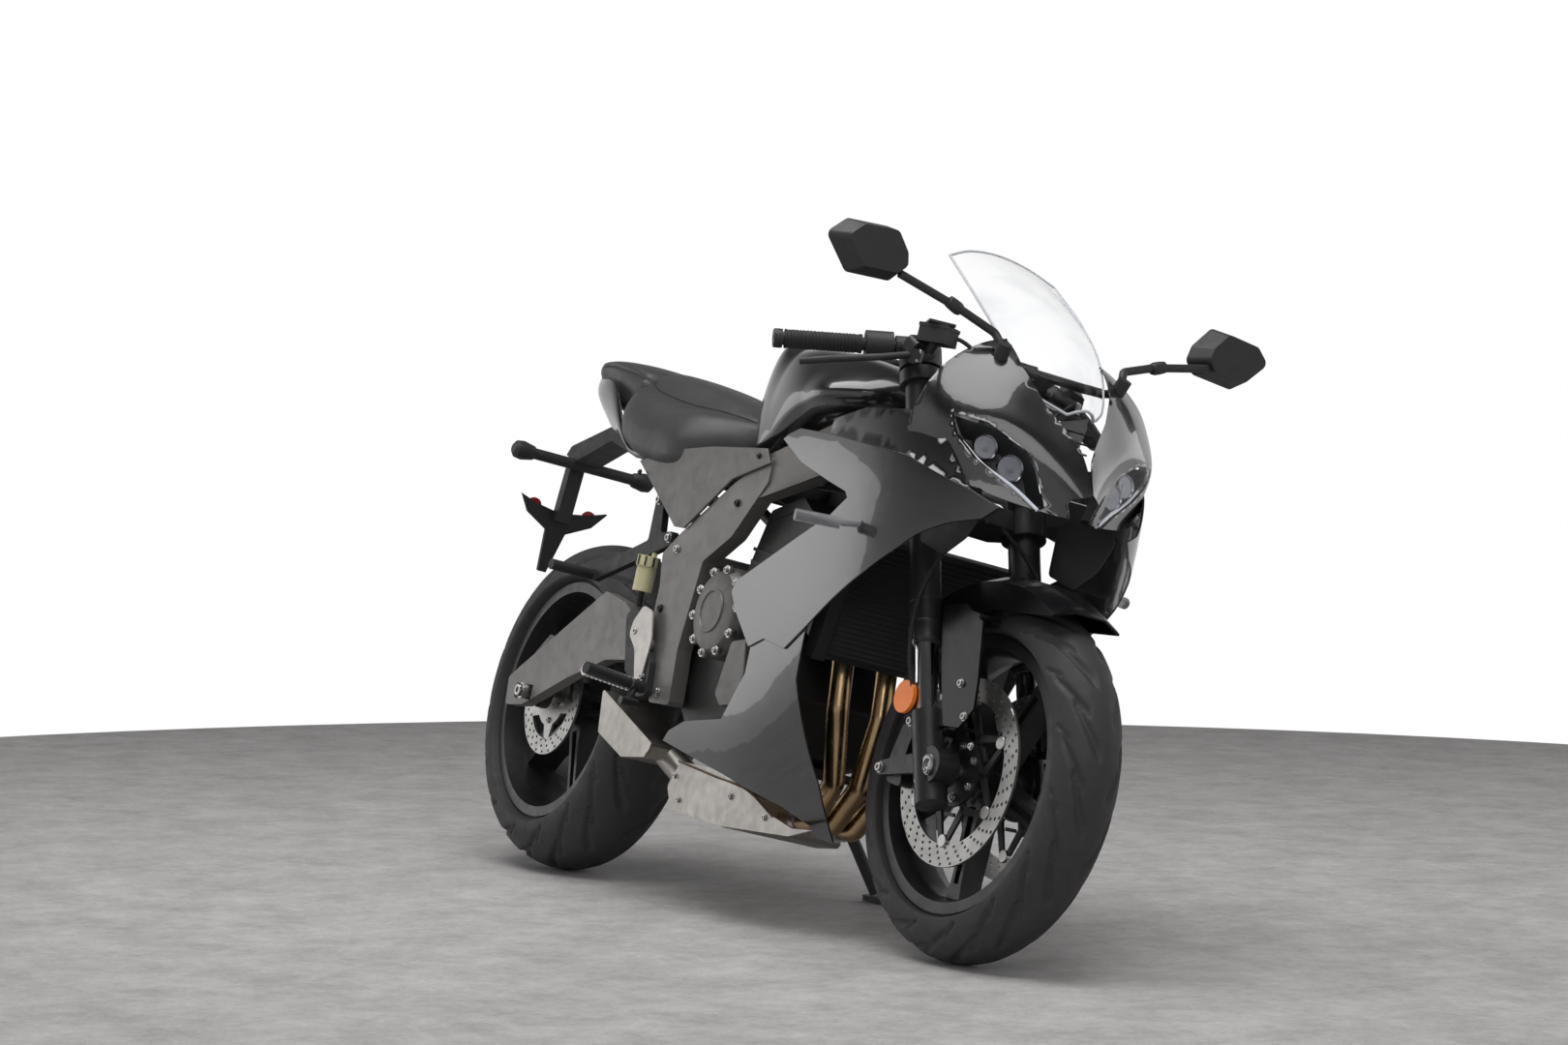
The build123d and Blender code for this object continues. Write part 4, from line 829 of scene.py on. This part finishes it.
def padSections(look):
    # Catmull-Rom round each section with a crowned middle, then along x, drawn in over the two ends
    table = sorted(look["sections"])
    xs = np.array([row[0] for row in table], float)
    halves = np.array([row[1:] for row in table], float)
    top = np.stack([np.zeros(len(xs)), halves[:, 0, 1] + look["crown"]], 1)[:, None]
    base = np.stack([np.zeros(len(xs)), halves[:, -1, 1] - 1], 1)[:, None]
    mirrored = halves[:, ::-1] * (-1, 1)
    loops = np.concatenate([top, halves, base, mirrored], 1)
    rings = np.stack([loopThrough(loop, seats["around"]) for loop in loops])
    at = np.linspace(xs[0], xs[-1], seats["rows"])
    grid = curveThrough(xs, rings, at)
    centre = grid.mean(1, keepdims=True)
    ends = np.minimum(np.arange(seats["rows"]), np.arange(seats["rows"])[::-1])
    pull = np.sqrt(1 - np.clip(1 - (ends + 0.6) / 7, 0, 1)**2)[:, None, None]
    grid = centre + (grid - centre) * (0.45 + 0.55 * pull)
    return np.concatenate([np.broadcast_to(at[:, None, None], grid.shape[:2] + (1,)), grid], 2)


def buildSeat(label, look):
    grid = padSections(look)
    rows, around = grid.shape[:2]
    # sewn line round the shoulder: a narrow valley where the side panel meets the top
    corners = 2 * len(look["sections"][0])
    seam = np.array([around * 2 / corners, around * (corners - 2) / corners])
    away = np.abs(np.arange(around)[:, None] - seam).min(1) / around
    dip = seats["seamDeep"] * np.exp(-(away / seats["seamHalf"])**2)[None, :, None]
    centre = grid.mean(1, keepdims=True)
    outward = (grid - centre) / np.linalg.norm(grid - centre, axis=2)[..., None]
    body = grid - outward * dip
    piece = addPiece(label + "Seat", "seatVinyl", "chassis", body.reshape(-1, 3), tubeFaces(rows, around),
                     (look["node"],), 60)
    welt = grid - outward * (seats["welt"] + 0.1)
    for where in seam.astype(int):
        gather("seatWelts", "mattBlack", "chassis", pipe(welt[4:-4:4, where], seats["welt"], 8, 60))


buildSeat("rider", seats["rider"])
buildSeat("pillion", seats["pillion"])

# Fuel tank
tank = {
    # x, then y and z of the top's edge, the shoulder, the side and the base
    "sections": ((-150, (40, 886), (60, 862), (64, 806), (46, 777)),
                 (-125, (60, 945), (86, 915), (92, 828), (74, 776)),
                 (-100, (74, 986), (102, 953), (112, 850), (93, 777)),
                 (0, (87, 997), (128, 958), (146, 875), (116, 807)),
                 (120, (84, 989), (140, 948), (163, 895), (128, 857)),
                 (230, (71, 967), (126, 938), (156, 905), (120, 878)),
                 (285, (57, 946), (96, 930), (108, 912), (86, 892))),
    "crown": 4,
    "cap": (118, 0, 992), "capRadius": 40, "capLean": (0.03, 0, 1),
    "capBolts": 7, "capBolt": 3.4,
    "keyCover": ((-13, -5), (13, -5), (13, 5), (-13, 5)),
}


def buildTank():
    grid = padSections(tank)
    addPiece("fuelTankShell", "glossBlack", "chassis", grid.reshape(-1, 3), tubeFaces(*grid.shape[:2]),
             ("fuel_tank",), 50)
    x, y, z = tank["cap"]
    r, lean = tank["capRadius"], tank["capLean"]
    rim = [(0, r + 12), (4, r + 12), (6, r + 9), (6, r), (9, r - 2), (10, r - 6), (10, 0.01)]
    gather("tankCap", "satinBlack", "chassis", lathe((x, y, z - 3), lean, rim, 64))
    for n in range(tank["capBolts"]):
        a = 2 * np.pi * n / tank["capBolts"]
        spot = (x + (r + 6) * np.cos(a), y + (r + 6) * np.sin(a), z + 3)
        gather("tankBolts", "bareSteel", "chassis", bolt(spot, lean, tank["capBolt"]))
    gather("tankCap", "satinBlack", "chassis",
           plate(tank["keyCover"], (x, y, z + 7), (1, 0, 0), (0, 1, 0), 3, 3))


buildTank()

# Grips, lamps and screen
grips = {
    "root": (1050, 22, 105), "clampOut": (18, 30, 14), "end": (308, 345, 942),
    "length": 130, "fromEnd": 148, "radius": 15.4, "flange": 16.4, "bore": 11.2,
    "ribHigh": 0.8, "ribEvery": 6,
    "weight": ((0, 12), (0, 15.6), (3, 16.2), (12, 16.2), (15, 14.5), (15, 6), (12, 5), (12, 0.01)),
}


def buildGrips():
    # a ribbed sleeve round each bar's end, and the weight that closes the bar
    length = grips["length"]
    s = np.linspace(0, length, 131)
    ribs = (np.sin(s * 2 * np.pi / grips["ribEvery"]) > 0) * (s > 12) * (s < length - 8)
    radius = grips["radius"] + grips["ribHigh"] * ribs
    radius = np.where((s < 6) | (s > length - 4), grips["flange"], radius)
    profile = np.concatenate([[(0, grips["bore"])], np.stack([s, radius], 1), [(length, grips["bore"])]])
    for side in (-1, 1):
        start = (np.array(leg(*grips["root"])) + grips["clampOut"]) * (1, side, 1)
        end = np.array(grips["end"], float) * (1, side, 1)
        reach = np.linalg.norm(end - start)
        along = (end - start) / reach
        gather("gripSleeves", "gripRubber", "steering",
               lathe(start + along * (reach - grips["fromEnd"]), along, profile, 40))
        gather("barWeights", "darkAnodised", "steering", lathe(end - along * 14, along, grips["weight"], 36))


buildGrips()
lamps = {
    "outline": ((690, -194, 858), (723, -145, 852), (760, -92, 820), (772, -76, 800), (785, -56, 745),
                (776, -66, 738), (716, -152, 800), (699, -180, 830)),
    "inward": (-0.82, 0.42, -0.36),
    # the housing's rings: share of the outline's size, and how far in
    "rings": ((1, 4), (0.94, 18), (0.75, 46)),
    "aim": (0.93, -0.24, 0.1),
    "bowls": (((742, -108, 800), 21), ((716, -146, 826), 19)), "bowlsIn": 26, "bowlDeep": 18,
    "strip": ((783, -62, 738), (760, -96, 764), (722, -150, 796), (704, -178, 822)),
    "stripIn": 9, "stripRadius": 3.2,
}


def buildLamps():
    edge, inward = np.array(lamps["outline"], float), np.array(lamps["inward"])
    middle, count, last = edge.mean(0), len(edge), len(lamps["rings"]) - 1
    rings = [middle + (edge - middle) * share + inward * deep for share, deep in lamps["rings"]]
    faces = gridFaces(last + 1, count, wrapColumns=True).tolist() + [[last * count + n for n in range(count)]]
    gather("lampHousings", "satinBlack", "chassis", *both((np.concatenate(rings), faces)))
    s = np.linspace(0, 1, 12)
    for spot, size in lamps["bowls"]:
        # a parabola turned round the aim, with a rolled rim; a half ellipse in front of it
        spot = np.array(spot, float) + inward * lamps["bowlsIn"]
        deep = lamps["bowlDeep"]
        bowl = np.stack([deep * s**2, 3 + (size - 3) * s], 1)
        bowl = np.concatenate([bowl, [(deep + 1, size + 1.5), (deep - 2, size + 2.5)]])
        gather("lampBowls", "reflector", "chassis", *both(lathe(spot, lamps["aim"], bowl, 36)))
        lens = np.stack([10 + 8 * np.sqrt(1 - s**2), 0.01 + size * 0.62 * s], 1)
        gather("lampLenses", "clearLens", "chassis", *both(lathe(spot, lamps["aim"], lens[::-1], 32)))
    strip = np.array(lamps["strip"]) + inward * lamps["stripIn"]
    gather("lampStrips", "whiteLens", "chassis", *both(pipe(strip, lamps["stripRadius"], 10, 30)))


buildLamps()


screenEdge = {
    "side": ((752, 26, 900), (704, 70, 926), (629, 100, 1006), (526, 111, 1086), (423, 108, 1152)),
    "top": ((423, 108, 1152), (404, 60, 1172), (398, 0, 1180), (404, -60, 1172), (423, -108, 1152)),
    "low": ((752, 26, 900), (766, 12, 909), (768, 0, 912), (766, -12, 909), (752, -26, 900)),
    "radius": 2.4,
}


def buildScreenEdge():
    # a pale rim along the screen's border: painted highlight where light catches the clear edge
    radius = screenEdge["radius"]
    gather("screenEdge", "edgeGlow", "chassis", *both(pipe(screenEdge["side"], radius, 8, 60)),
           pipe(screenEdge["top"], radius, 8, 50), pipe(screenEdge["low"], radius, 8, 24))


buildScreenEdge()


# Chain: links spaced evenly along the two straight runs and round both sprockets
chain = {
    "front": (-158, 440), "rear": (-712.5, 315), "small": 39, "large": 105, "y": 104, "links": 118,
    "roller": ((0, 2.6), (3, 2.6), (3, 4.6), (13.6, 4.6), (13.6, 2.6), (16.6, 2.6)),
    "high": 6, "waist": 4.4, "sheet": 1.4, "innerOut": 5.6, "outerOut": 7.1,
}


def buildChain():
    a, b = np.array(chain["front"], float), np.array(chain["rear"], float)
    gap = a - b
    distance = np.linalg.norm(gap)
    heading = np.arctan2(gap[1], gap[0])
    spread = np.arccos((chain["large"] - chain["small"]) / distance)
    big = np.linspace(heading + spread, heading + 2 * np.pi - spread, 90)
    small = np.linspace(heading - spread, heading + spread, 40)
    loop = np.concatenate([b + chain["large"] * np.stack([np.cos(big), np.sin(big)], 1),
                           a + chain["small"] * np.stack([np.cos(small), np.sin(small)], 1)])
    loop = np.concatenate([loop, loop[:1]])
    keys = np.concatenate([[0], np.cumsum(np.linalg.norm(np.diff(loop, axis=0), axis=1))])
    step = keys[-1] / chain["links"]
    at = np.arange(chain["links"]) * step
    x, z = np.interp(at, keys, loop[:, 0]), np.interp(at, keys, loop[:, 1])
    nextX, nextZ = np.roll(x, -1), np.roll(z, -1)
    high, waist, sheet = chain["high"], chain["waist"], chain["sheet"]
    for n in range(chain["links"]):
        along = np.array((nextX[n] - x[n], 0, nextZ[n] - z[n]))
        length = np.linalg.norm(along)
        along /= length
        up = np.array((-along[2], 0, along[0]))
        outline = [(-high, -high), (length / 2, -waist), (length + high, -high),
                   (length + high, high), (length / 2, waist), (-high, high)]
        out = chain["outerOut"] if n % 2 else chain["innerOut"]
        for y in (chain["y"] - out, chain["y"] + out):
            gather("chainLinks", "chainSteel", "chassis",
                   plate(outline, (x[n], y - sheet / 2, z[n]), along, up, -sheet, 4))
        gather("chainLinks", "chainSteel", "chassis",
               lathe((x[n], chain["y"] - 8.3, z[n]), (0, 1, 0), chain["roller"], 12))


buildChain()

# Bolts: place, direction, head radius, finish, body, on both sides. The tables below are in upright mm too.
outward = (0, 1, 0)
bolts = (
    ((733, 111.5, 437), outward, 6.0, "bareSteel", "steering", True),
    ((762, 111.5, 385), outward, 6.0, "bareSteel", "steering", True),
    ((781, -99, 341), (0, -1, 0), 5.0, "bareSteel", "steering", False),
    ((720, 128, 289), outward, 5.5, "bareSteel", "steering", True),
    ((697, 126, 271), outward, 5.5, "bareSteel", "steering", True),
    ((542, 99.5, 284), outward, 7.5, "bareSteel", "steering", True),
    ((600, 99.5, 366), outward, 7.0, "bareSteel", "steering", True),
    ((-234, 161, 431), outward, 9.0, "bareSteel", "chassis", True),
    ((-358, 136, 701), outward, 7.5, "bareSteel", "chassis", True),
    ((-290, 136, 632), outward, 7.5, "bareSteel", "chassis", True),
    ((-275, 168, 452), outward, 6.5, "bareSteel", "chassis", True),
    ((-215, 168, 372), outward, 6.0, "bareSteel", "chassis", True),
    ((-214, 155, 610), outward, 6.5, "bareSteel", "chassis", True),
    ((-30, 155, 700), outward, 6.0, "darkAnodised", "chassis", True),
    ((-228, 155, 500), outward, 6.0, "darkAnodised", "chassis", True),
    ((-170, 155, 350), outward, 7.0, "bareSteel", "chassis", True),
    ((-90, -126.5, 210), (0, -1, 0), 5.0, "bareSteel", "chassis", False),
    ((-60, -126.5, 170), (0, -1, 0), 5.0, "bareSteel", "chassis", False),
    ((250, -126.5, 168), (0, -1, 0), 5.0, "bareSteel", "chassis", False),
    ((120, -126.5, 192), (0, -1, 0), 5.0, "bareSteel", "chassis", False),
    ((-400, 166.5, 745), outward, 4.5, "darkAnodised", "chassis", True),
    ((20, 160.5, 785), outward, 4.5, "darkAnodised", "chassis", True),
    ((-712.5, 152, 315), outward, 12.0, "bareSteel", "chassis", True),
)
coverScrews = (
    # cover's middle in x and z, y of its face, bolt circle, count, first angle
    ((-24, 505), -158, 76, 10, 8), ((50, 440), 121, 64, 8, 0),
)


def buildScrews():
    for spot, axis, size, finish, body, pair in bolts:
        shape = bolt(spot, axis, size)
        gather("screws_" + body + "_" + finish, finish, body, *(both(shape) if pair else (shape,)))
    boss = [(0, 9), (9, 9), (10, 8.4), (10, 0.01)]
    for (x, z), y, circle, count, first in coverScrews:
        out = np.sign(y)
        for n in range(count):
            a = np.radians(first + 360 * n / count)
            spot = np.array((x + circle * np.cos(a), y, z + circle * np.sin(a)))
            gather("coverBolts", "bareSteel", "chassis",
                   lathe(spot - (0, out * 10, 0), (0, out, 0), boss, 20), bolt(spot, (0, out, 0), 5))


# Turned pieces: name, finish, body, foot, direction, sides, on both sides, then profile of (along, radius)
turnedPieces = (
    ("coverRings", "coverGrey", "chassis", (-24, -164.3, 505), (0, -1, 0), 72, False,
     ((0, 40), (2.5, 39), (2.5, 35), (0.5, 34), (0.5, 0.01))),
    ("coverRings", "coverGrey", "chassis", (-24, -156.3, 505), (0, -1, 0), 72, False,
     ((0, 62), (3, 61), (3, 56), (0, 55))),
    ("fillerCap", "satinBlack", "chassis", (88, -170, 520), (0, -1, 0), 36, False,
     ((-60, 19), (0, 19), (2, 17), (2, 8), (8, 7), (8, 0.01))),
    ("dustSeals", "satinBlack", "steering", leg(535, 22, 105), -legAxis, 48, True,
     ((-30, 27.1), (-26, 29.5), (-8, 29.5), (0, 28.5), (6, 27), (10, 23), (10, 20.6))),
    ("dustSeals", "satinBlack", "steering", leg(600, 22, 105), legAxis, 48, True,
     ((0, 27.1), (1, 28), (5, 28), (6, 27.1))),
    ("forkCaps", "darkAnodised", "steering", leg(1060, 22, 105), legAxis, 36, True,
     ((0, 26), (6, 26), (8, 24), (8, 15), (14, 14), (14, 6), (10, 5), (10, 0.01))),
    ("axleRings", "bareSteel", "steering", (712.5, 126, 300), outward, 40, True,
     ((-3, 17), (1.5, 17), (2.5, 15.5), (2.5, 9), (-2, 8.5))),
    ("hoseGuides", "bareSteel", "steering", leg(520, 22, 133), legAxis, 16, True,
     ((0, 4), (0, 6), (9, 6), (9, 4))),
    ("mirrorJoints", "mattBlack", "chassis", (636, -206, 1036), (0.05, 0.93, -0.36), 28, True,
     ((-14, 7), (-13, 10), (-2, 11), (8, 11), (14, 9), (15, 7))),
    ("plateReflectors", "redLens", "chassis", (-1024, 62, 688), (-0.965, 0, 0.262), 36, True,
     ((0, 16), (4, 16), (6, 14), (6, 0.01))),
    ("rearIndicators", "mattBlack", "chassis", (-972, 108, 783), outward, 32, True,
     ((0, 8), (6, 14), (30, 19), (44, 17), (50, 10), (50, 0.01))),
    ("rearIndicatorLenses", "smokedLens", "chassis", (-976, 130, 783), (-1, 0, 0), 32, True,
     ((10, 15), (15, 14.5), (19, 10), (19, 0.01))),
    ("brakePedal", "darkAnodised", "chassis", (-172, -190, 321), (0, -1, 0), 20, False,
     ((0, 6), (0, 8), (34, 8), (34, 6), (34, 0.01))),
    ("shiftLever", "darkAnodised", "chassis", (-70, 184, 344), outward, 20, False,
     ((0, 6), (0, 8), (38, 8), (38, 6), (38, 0.01))),
    ("outletPipe", "darkSteel", "chassis", (-384, -104, 304), (-0.98, 0, 0.2), 48, False,
     ((-6, 30), (0, 30), (2, 28.5), (0, 27), (-40, 26), (-40, 0.01))),
    ("leverPivots", "bareSteel", "steering", (480, 168, 950), (0.2, 0, 0.98), 20, True,
     ((0, 6), (20, 6), (21, 5), (21, 0.01))),
    ("ignition", "bareSteel", "steering", leg(1021, 34, 0), legAxis, 36, False,
     ((0, 19), (16, 19), (18, 17), (18, 5), (14, 4), (14, 0.01))),
)
# Hoses, cables and rods: name, finish, body, radius or radii, sides, rings, on both sides, then the points
pipedPieces = (
    ("brakeHoses", "gripRubber", "steering", 3.6, 12, 90, True,
     (leg(760, 58, 30), leg(700, 66, 84), leg(600, 44, 134), leg(500, 20, 138), leg(420, 10, 122),
      (560, 84, 372))),
    ("brakeHoses", "gripRubber", "steering", 3.6, 12, 70, False,
     ((486, -150, 992), (500, -120, 1004), (520, -80, 985), (505, -40, 940), leg(880, 52, -20),
      leg(760, 58, 0))),
    ("clutchCable", "gripRubber", "steering", 3.0, 10, 60, False,
     ((486, 158, 968), (474, 140, 945), (466, 112, 910), leg(900, 42, 72), leg(860, 44, 40))),
    ("rearHose", "gripRubber", "chassis", 5.5, 12, 50, False,
     ((-343, -140, 528), (-346, -136, 490), (-330, -128, 450), (-300, -146, 420), (-292, -150, 400))),
    ("coolantHoses", "gripRubber", "chassis", 15, 18, 50, True,
     ((410, 150, 640), (370, 150, 650), (310, 130, 640), (250, 108, 610))),
    ("brakePedal", "darkAnodised", "chassis", (6, 5), 12, 30, False,
     ((-208, -182, 346), (-192, -196, 330), (-176, -206, 322))),
    ("shiftLever", "darkAnodised", "chassis", (6, 5), 12, 40, False,
     ((-208, 182, 348), (-150, 190, 352), (-72, 196, 344))),
    ("shiftRod", "bareSteel", "chassis", 3.4, 10, 20, False,
     ((-186, 172, 372), (-140, 150, 430), (-118, 142, 452))),
)
# Weld seams of the silencer: radius, sides, rings, curved, points
welds = (
    (1.6, 8, 24, False, ((-158, -150.4, 258), (-160, -151, 246), (-172, -151, 233))),
    (1.5, 8, 60, True, ((-90, -126.6, 236), (40, -126.6, 222), (178, -126.6, 206), (274, -126.6, 172))),
)


def buildTurnedAndPiped():
    for name, finish, body, foot, direction, sides, pair, profile in turnedPieces:
        shape = lathe(foot, direction, profile, sides)
        gather(name, finish, body, *(both(shape) if pair else (shape,)))
    for name, finish, body, radius, sides, rings, pair, points in pipedPieces:
        shape = pipe(points, radius, sides, rings)
        gather(name, finish, body, *(both(shape) if pair else (shape,)))
    for radius, sides, rings, curved, points in welds:
        gather("silencerWelds", "weldBrown", "chassis", pipe(points, radius, sides, rings, curved))


engine = {
    "sump": dict(count=9, first=30, step=18, bottom=256, high=15, thick=5, right=-90, wide=170),
    "head": dict(heights=(560, 582, 604, 626), foot=10, ys=(-106, 110), thick=4),
    "headFin": ((-30, 0), (190, -32), (190, -26), (-30, 6)),
    "cam": ((20, 700), (118, 726), (246, 645), (232, 628), (112, 704), (22, 682)),
    "camHalf": 109,
    "exhaustPorts": dict(ys=(-90, 0, 90), x=287, z=520, nutGap=26, nut=5),
    "flange": ((0, 30), (7, 30), (9, 28), (9, 20)),
    "clamps": dict(x=262, z=178, gathers=0.48),      # the pipes draw together towards the silencer
    "clamp": ((28, 19.2), (28, 21.5), (44, 21.5), (44, 19.2)),
}
forward, upright = (1, 0, 0), (0, 0, 1)


def buildEngine():
    sump, head, ports, clamps = engine["sump"], engine["head"], engine["exhaustPorts"], engine["clamps"]
    fin = [(0, 0), (sump["thick"], 0), (sump["thick"], sump["high"]), (0, sump["high"])]
    for n in range(sump["count"]):
        foot = (sump["first"] + n * sump["step"], sump["right"], sump["bottom"])
        gather("sumpFins", "castDark", "chassis", plate(fin, foot, forward, upright, -sump["wide"], 1))
    for z in head["heights"]:
        for y in head["ys"]:
            gather("headFins", "castDark", "chassis",
                   plate(engine["headFin"], (head["foot"], y, z), forward, upright, head["thick"], 1))
    half = engine["camHalf"]
    gather("camCover", "castDark", "chassis", sidePlate(engine["cam"], -half, half, 6))
    for y in ports["ys"]:
        gather("headerFlanges", "castDark", "chassis",
               lathe((ports["x"], y, ports["z"]), forward, engine["flange"], 36))
        for side in (-1, 1):
            gather("headerNuts", "bareSteel", "chassis",
                   bolt((ports["x"] + 8, y + side * ports["nutGap"], ports["z"]), forward, ports["nut"]))
        gather("headerClamps", "bareSteel", "chassis",
               lathe((clamps["x"], y * clamps["gathers"], clamps["z"]), (-1, 0, 0), engine["clamp"], 36))


radiator = {
    "low": (396, 0, 445), "high": (440, 0, 660), "half": 160,
    "tubes": 24, "border": 8, "tubeHalf": 1.1, "tubeDepth": 2.6,
    "folds": 330, "foldDepth": 1.4, "finGap": 10,
}


def buildRadiator():
    # flat tubes across the core's face, and one folded strip behind them: a zigzag carried up the core
    start, end = np.array(radiator["low"], float), np.array(radiator["high"], float)
    height = np.linalg.norm(end - start)
    up = (end - start) / height
    ahead = np.array((up[2], 0, -up[0]))
    wide, thin, border = radiator["half"], radiator["tubeHalf"], radiator["border"]
    tube = [(-wide, -thin), (wide, -thin), (wide, thin), (-wide, thin)]
    for n in range(radiator["tubes"]):
        spot = start + up * (border + n * (height - 2 * border) / (radiator["tubes"] - 1)) + ahead * 0.1
        gather("radiatorTubes", "radiatorBlack", "chassis",
               plate(tube, spot, outward, up, radiator["tubeDepth"], 0))
    s = np.arange(radiator["folds"])
    across = -wide + s * 2 * wide / (radiator["folds"] - 1)
    zig = (s % 2)[:, None] * ahead * radiator["foldDepth"]
    low = start + ahead * 0.7 + np.stack([0 * s, across, 0 * s], 1) + zig
    gap = radiator["finGap"]
    points = np.concatenate([low + up * gap, low + up * (height - gap)])
    gather("radiatorFins", "radiatorGrey", "chassis", (points, gridFaces(2, len(s)).tolist()))


spring = {"low": (-304, 0, 400), "high": (-280, 0, 556), "radius": 36, "wire": 5.2, "turns": 7.5}
reservoirCap = {
    "middle": (-343, -140, 575), "radius": 21, "ribs": 9, "rib": ((-1.6, 0), (1.6, 0), (1.6, 18), (-1.6, 18)),
}


def buildSuspension():
    # coil spring: a helix round the shock; ribs round the fluid reservoir's cap
    low, high = np.array(spring["low"], float), np.array(spring["high"], float)
    side, up = framed(high - low)[1:]
    s = np.linspace(0, 1, 260)
    angle = spring["turns"] * 2 * np.pi * s
    coil = low + (high - low) * s[:, None]
    coil += spring["radius"] * (np.cos(angle)[:, None] * side + np.sin(angle)[:, None] * up)
    gather("shockSpring", "satinBlack", "chassis", pipe(coil, spring["wire"], 10, 300))
    x, y, z = reservoirCap["middle"]
    for n in range(reservoirCap["ribs"]):
        a = 2 * np.pi * n / reservoirCap["ribs"]
        spot = (x + reservoirCap["radius"] * np.cos(a), y + reservoirCap["radius"] * np.sin(a), z)
        gather("capRibs", "satinBlack", "chassis",
               plate(reservoirCap["rib"], spot, (-np.sin(a), np.cos(a), 0), upright, 2, 0.5))


mirror = {
    "glass": ((-298, 1071), (-304, 1097), (-331, 1130), (-404, 1124), (-433, 1097), (-389, 1051),
              (-314, 1056)),
    "corner": 14, "xs": (586.8, 588.4),
}


def buildMirrors():
    edge = rounded(mirror["glass"][::-1], mirror["corner"])
    flat = np.concatenate([np.insert(edge, 0, x, axis=1) for x in mirror["xs"]])
    gather("mirrorGlass", "chrome", "chassis", *both((flat, tubeFaces(2, len(edge)))))


tail = {
    "lamp": ((-40, -9), (40, -9), (52, 0), (40, 9), (-40, 9), (-52, 0)), "lampAt": (-808, 0, 918),
    "lampDeep": 18,
    "housing": ((-58, -20), (58, -20), (68, 4), (46, 20), (-46, 20), (-68, 4)), "housingAt": (-800, 0, 918),
    "housingDeep": 40, "leans": (-0.25, 0, 0.97),
}


def buildRear():
    for name, finish, outline, spot, deep in (
            ("tailLamp", "redLens", tail["lamp"], tail["lampAt"], -tail["lampDeep"]),
            ("tailLampHousing", "mattBlack", tail["housing"], tail["housingAt"], tail["housingDeep"])):
        gather(name, finish, "chassis", plate(outline, spot, outward, tail["leans"], deep, 6))


controls = {
    "guard": ((-290, 470), (-262, 500), (-226, 492), (-206, 440), (-214, 372), (-238, 362), (-262, 420),
              (-294, 444)),
    "guardAt": (168, 171), "pivot": (-214, 171, 352), "pivotSize": 8,
    "pegRings": 11, "pegRoot": (-212.5, 190, 354.4), "pegStep": (0, 9, 0.8), "pegAxis": (0.127, 0.985, 0.09),
    "pegRing": ((0, 11.2), (0.6, 13.4), (4.6, 13.4), (5.2, 11.2)),
}


def buildControls():
    root, step = np.array(controls["pegRoot"]), np.array(controls["pegStep"])
    for n in range(controls["pegRings"]):
        gather("pegRubbers", "bareSteel", "chassis",
               *both(lathe(root + n * step, controls["pegAxis"], controls["pegRing"], 24)))
    gather("heelGuards", "bareAlloy", "chassis", *both(sidePlate(controls["guard"], *controls["guardAt"], 9)))
    gather("leverPivots", "bareSteel", "chassis",
           *both(bolt(controls["pivot"], outward, controls["pivotSize"])))


cockpit = {
    "dash": ((-52, -32), (52, -32), (56, 20), (44, 34), (-44, 34), (-56, 20)), "dashAt": (501, 0, 962),
    "dashLeans": (0.42, 0, 0.906), "glass": 2.4,
    "switch": ((-20, -13), (20, -13), (24, 0), (20, 14), (-20, 14), (-24, 0)), "switchAt": (455, 165, 985),
    "switchDeep": 26,
    "fluidCap": ((-27, -23), (27, -23), (27, 23), (-27, 23)), "fluidCapAt": (492, -148, 1018),
    "fluidCapHigh": 4,
}


def buildCockpit():
    gather("dashScreen", "dashGlass", "chassis",
           plate(cockpit["dash"], cockpit["dashAt"], outward, cockpit["dashLeans"], -cockpit["glass"], 8))
    x, y, z = cockpit["switchAt"]
    for side in (-1, 1):
        gather("switchGear", "satinBlack", "steering",
               plate(cockpit["switch"], (x, side * y, z), (0.1, side * 0.95, -0.2), (0.5, 0, 0.86),
                     side * cockpit["switchDeep"], 5))
    gather("fluidCap", "satinBlack", "steering",
           plate(cockpit["fluidCap"], cockpit["fluidCapAt"], (0.9, -0.44, 0), (0.44, 0.9, 0),
                 cockpit["fluidCapHigh"], 5))


nose = {
    "intake": ((800, 5, 800), (770, 30, 850), (735, 62, 905), (690, 90, 930), (690, 0, 900), (735, 0, 870),
               (780, 0, 800)),
    "liningBehind": (-52, 0, -10),
    "slats": 5, "slatFirst": (764, 812), "slatStep": (-15, 18), "slatHalf": (12, 13), "slatThick": 1.2,
    "lining": ((640, 640), (700, 672), (735, 720), (700, 760), (620, 770), (560, 740), (560, 660)),
    "liningAt": (128, 131),
}


def buildNose():
    back = np.array(nose["intake"], float) + nose["liningBehind"]
    gather("intakeLining", "mattBlack", "chassis", *both((back, [list(range(len(back)))])))
    thin = nose["slatThick"]
    for n in range(nose["slats"]):
        wide = nose["slatHalf"][0] + n * nose["slatHalf"][1]
        x, z = (first + n * step for first, step in zip(nose["slatFirst"], nose["slatStep"]))
        gather("intakeSlats", "mattBlack", "chassis",
               plate([(-wide, -thin), (wide, -thin), (wide, thin), (-wide, thin)], (x, 0, z), outward,
                     (0.5, 0, 0.86), 3, 0))
    gather("noseLining", "mattBlack", "chassis", *both(sidePlate(nose["lining"], *nose["liningAt"], 10)))


for build in (buildScrews, buildEngine, buildControls, buildTurnedAndPiped, buildRadiator, buildSuspension,
              buildMirrors, buildRear, buildCockpit, buildNose):
    build()
joinGathered()
print("details joined:", len(gathered), "pieces")
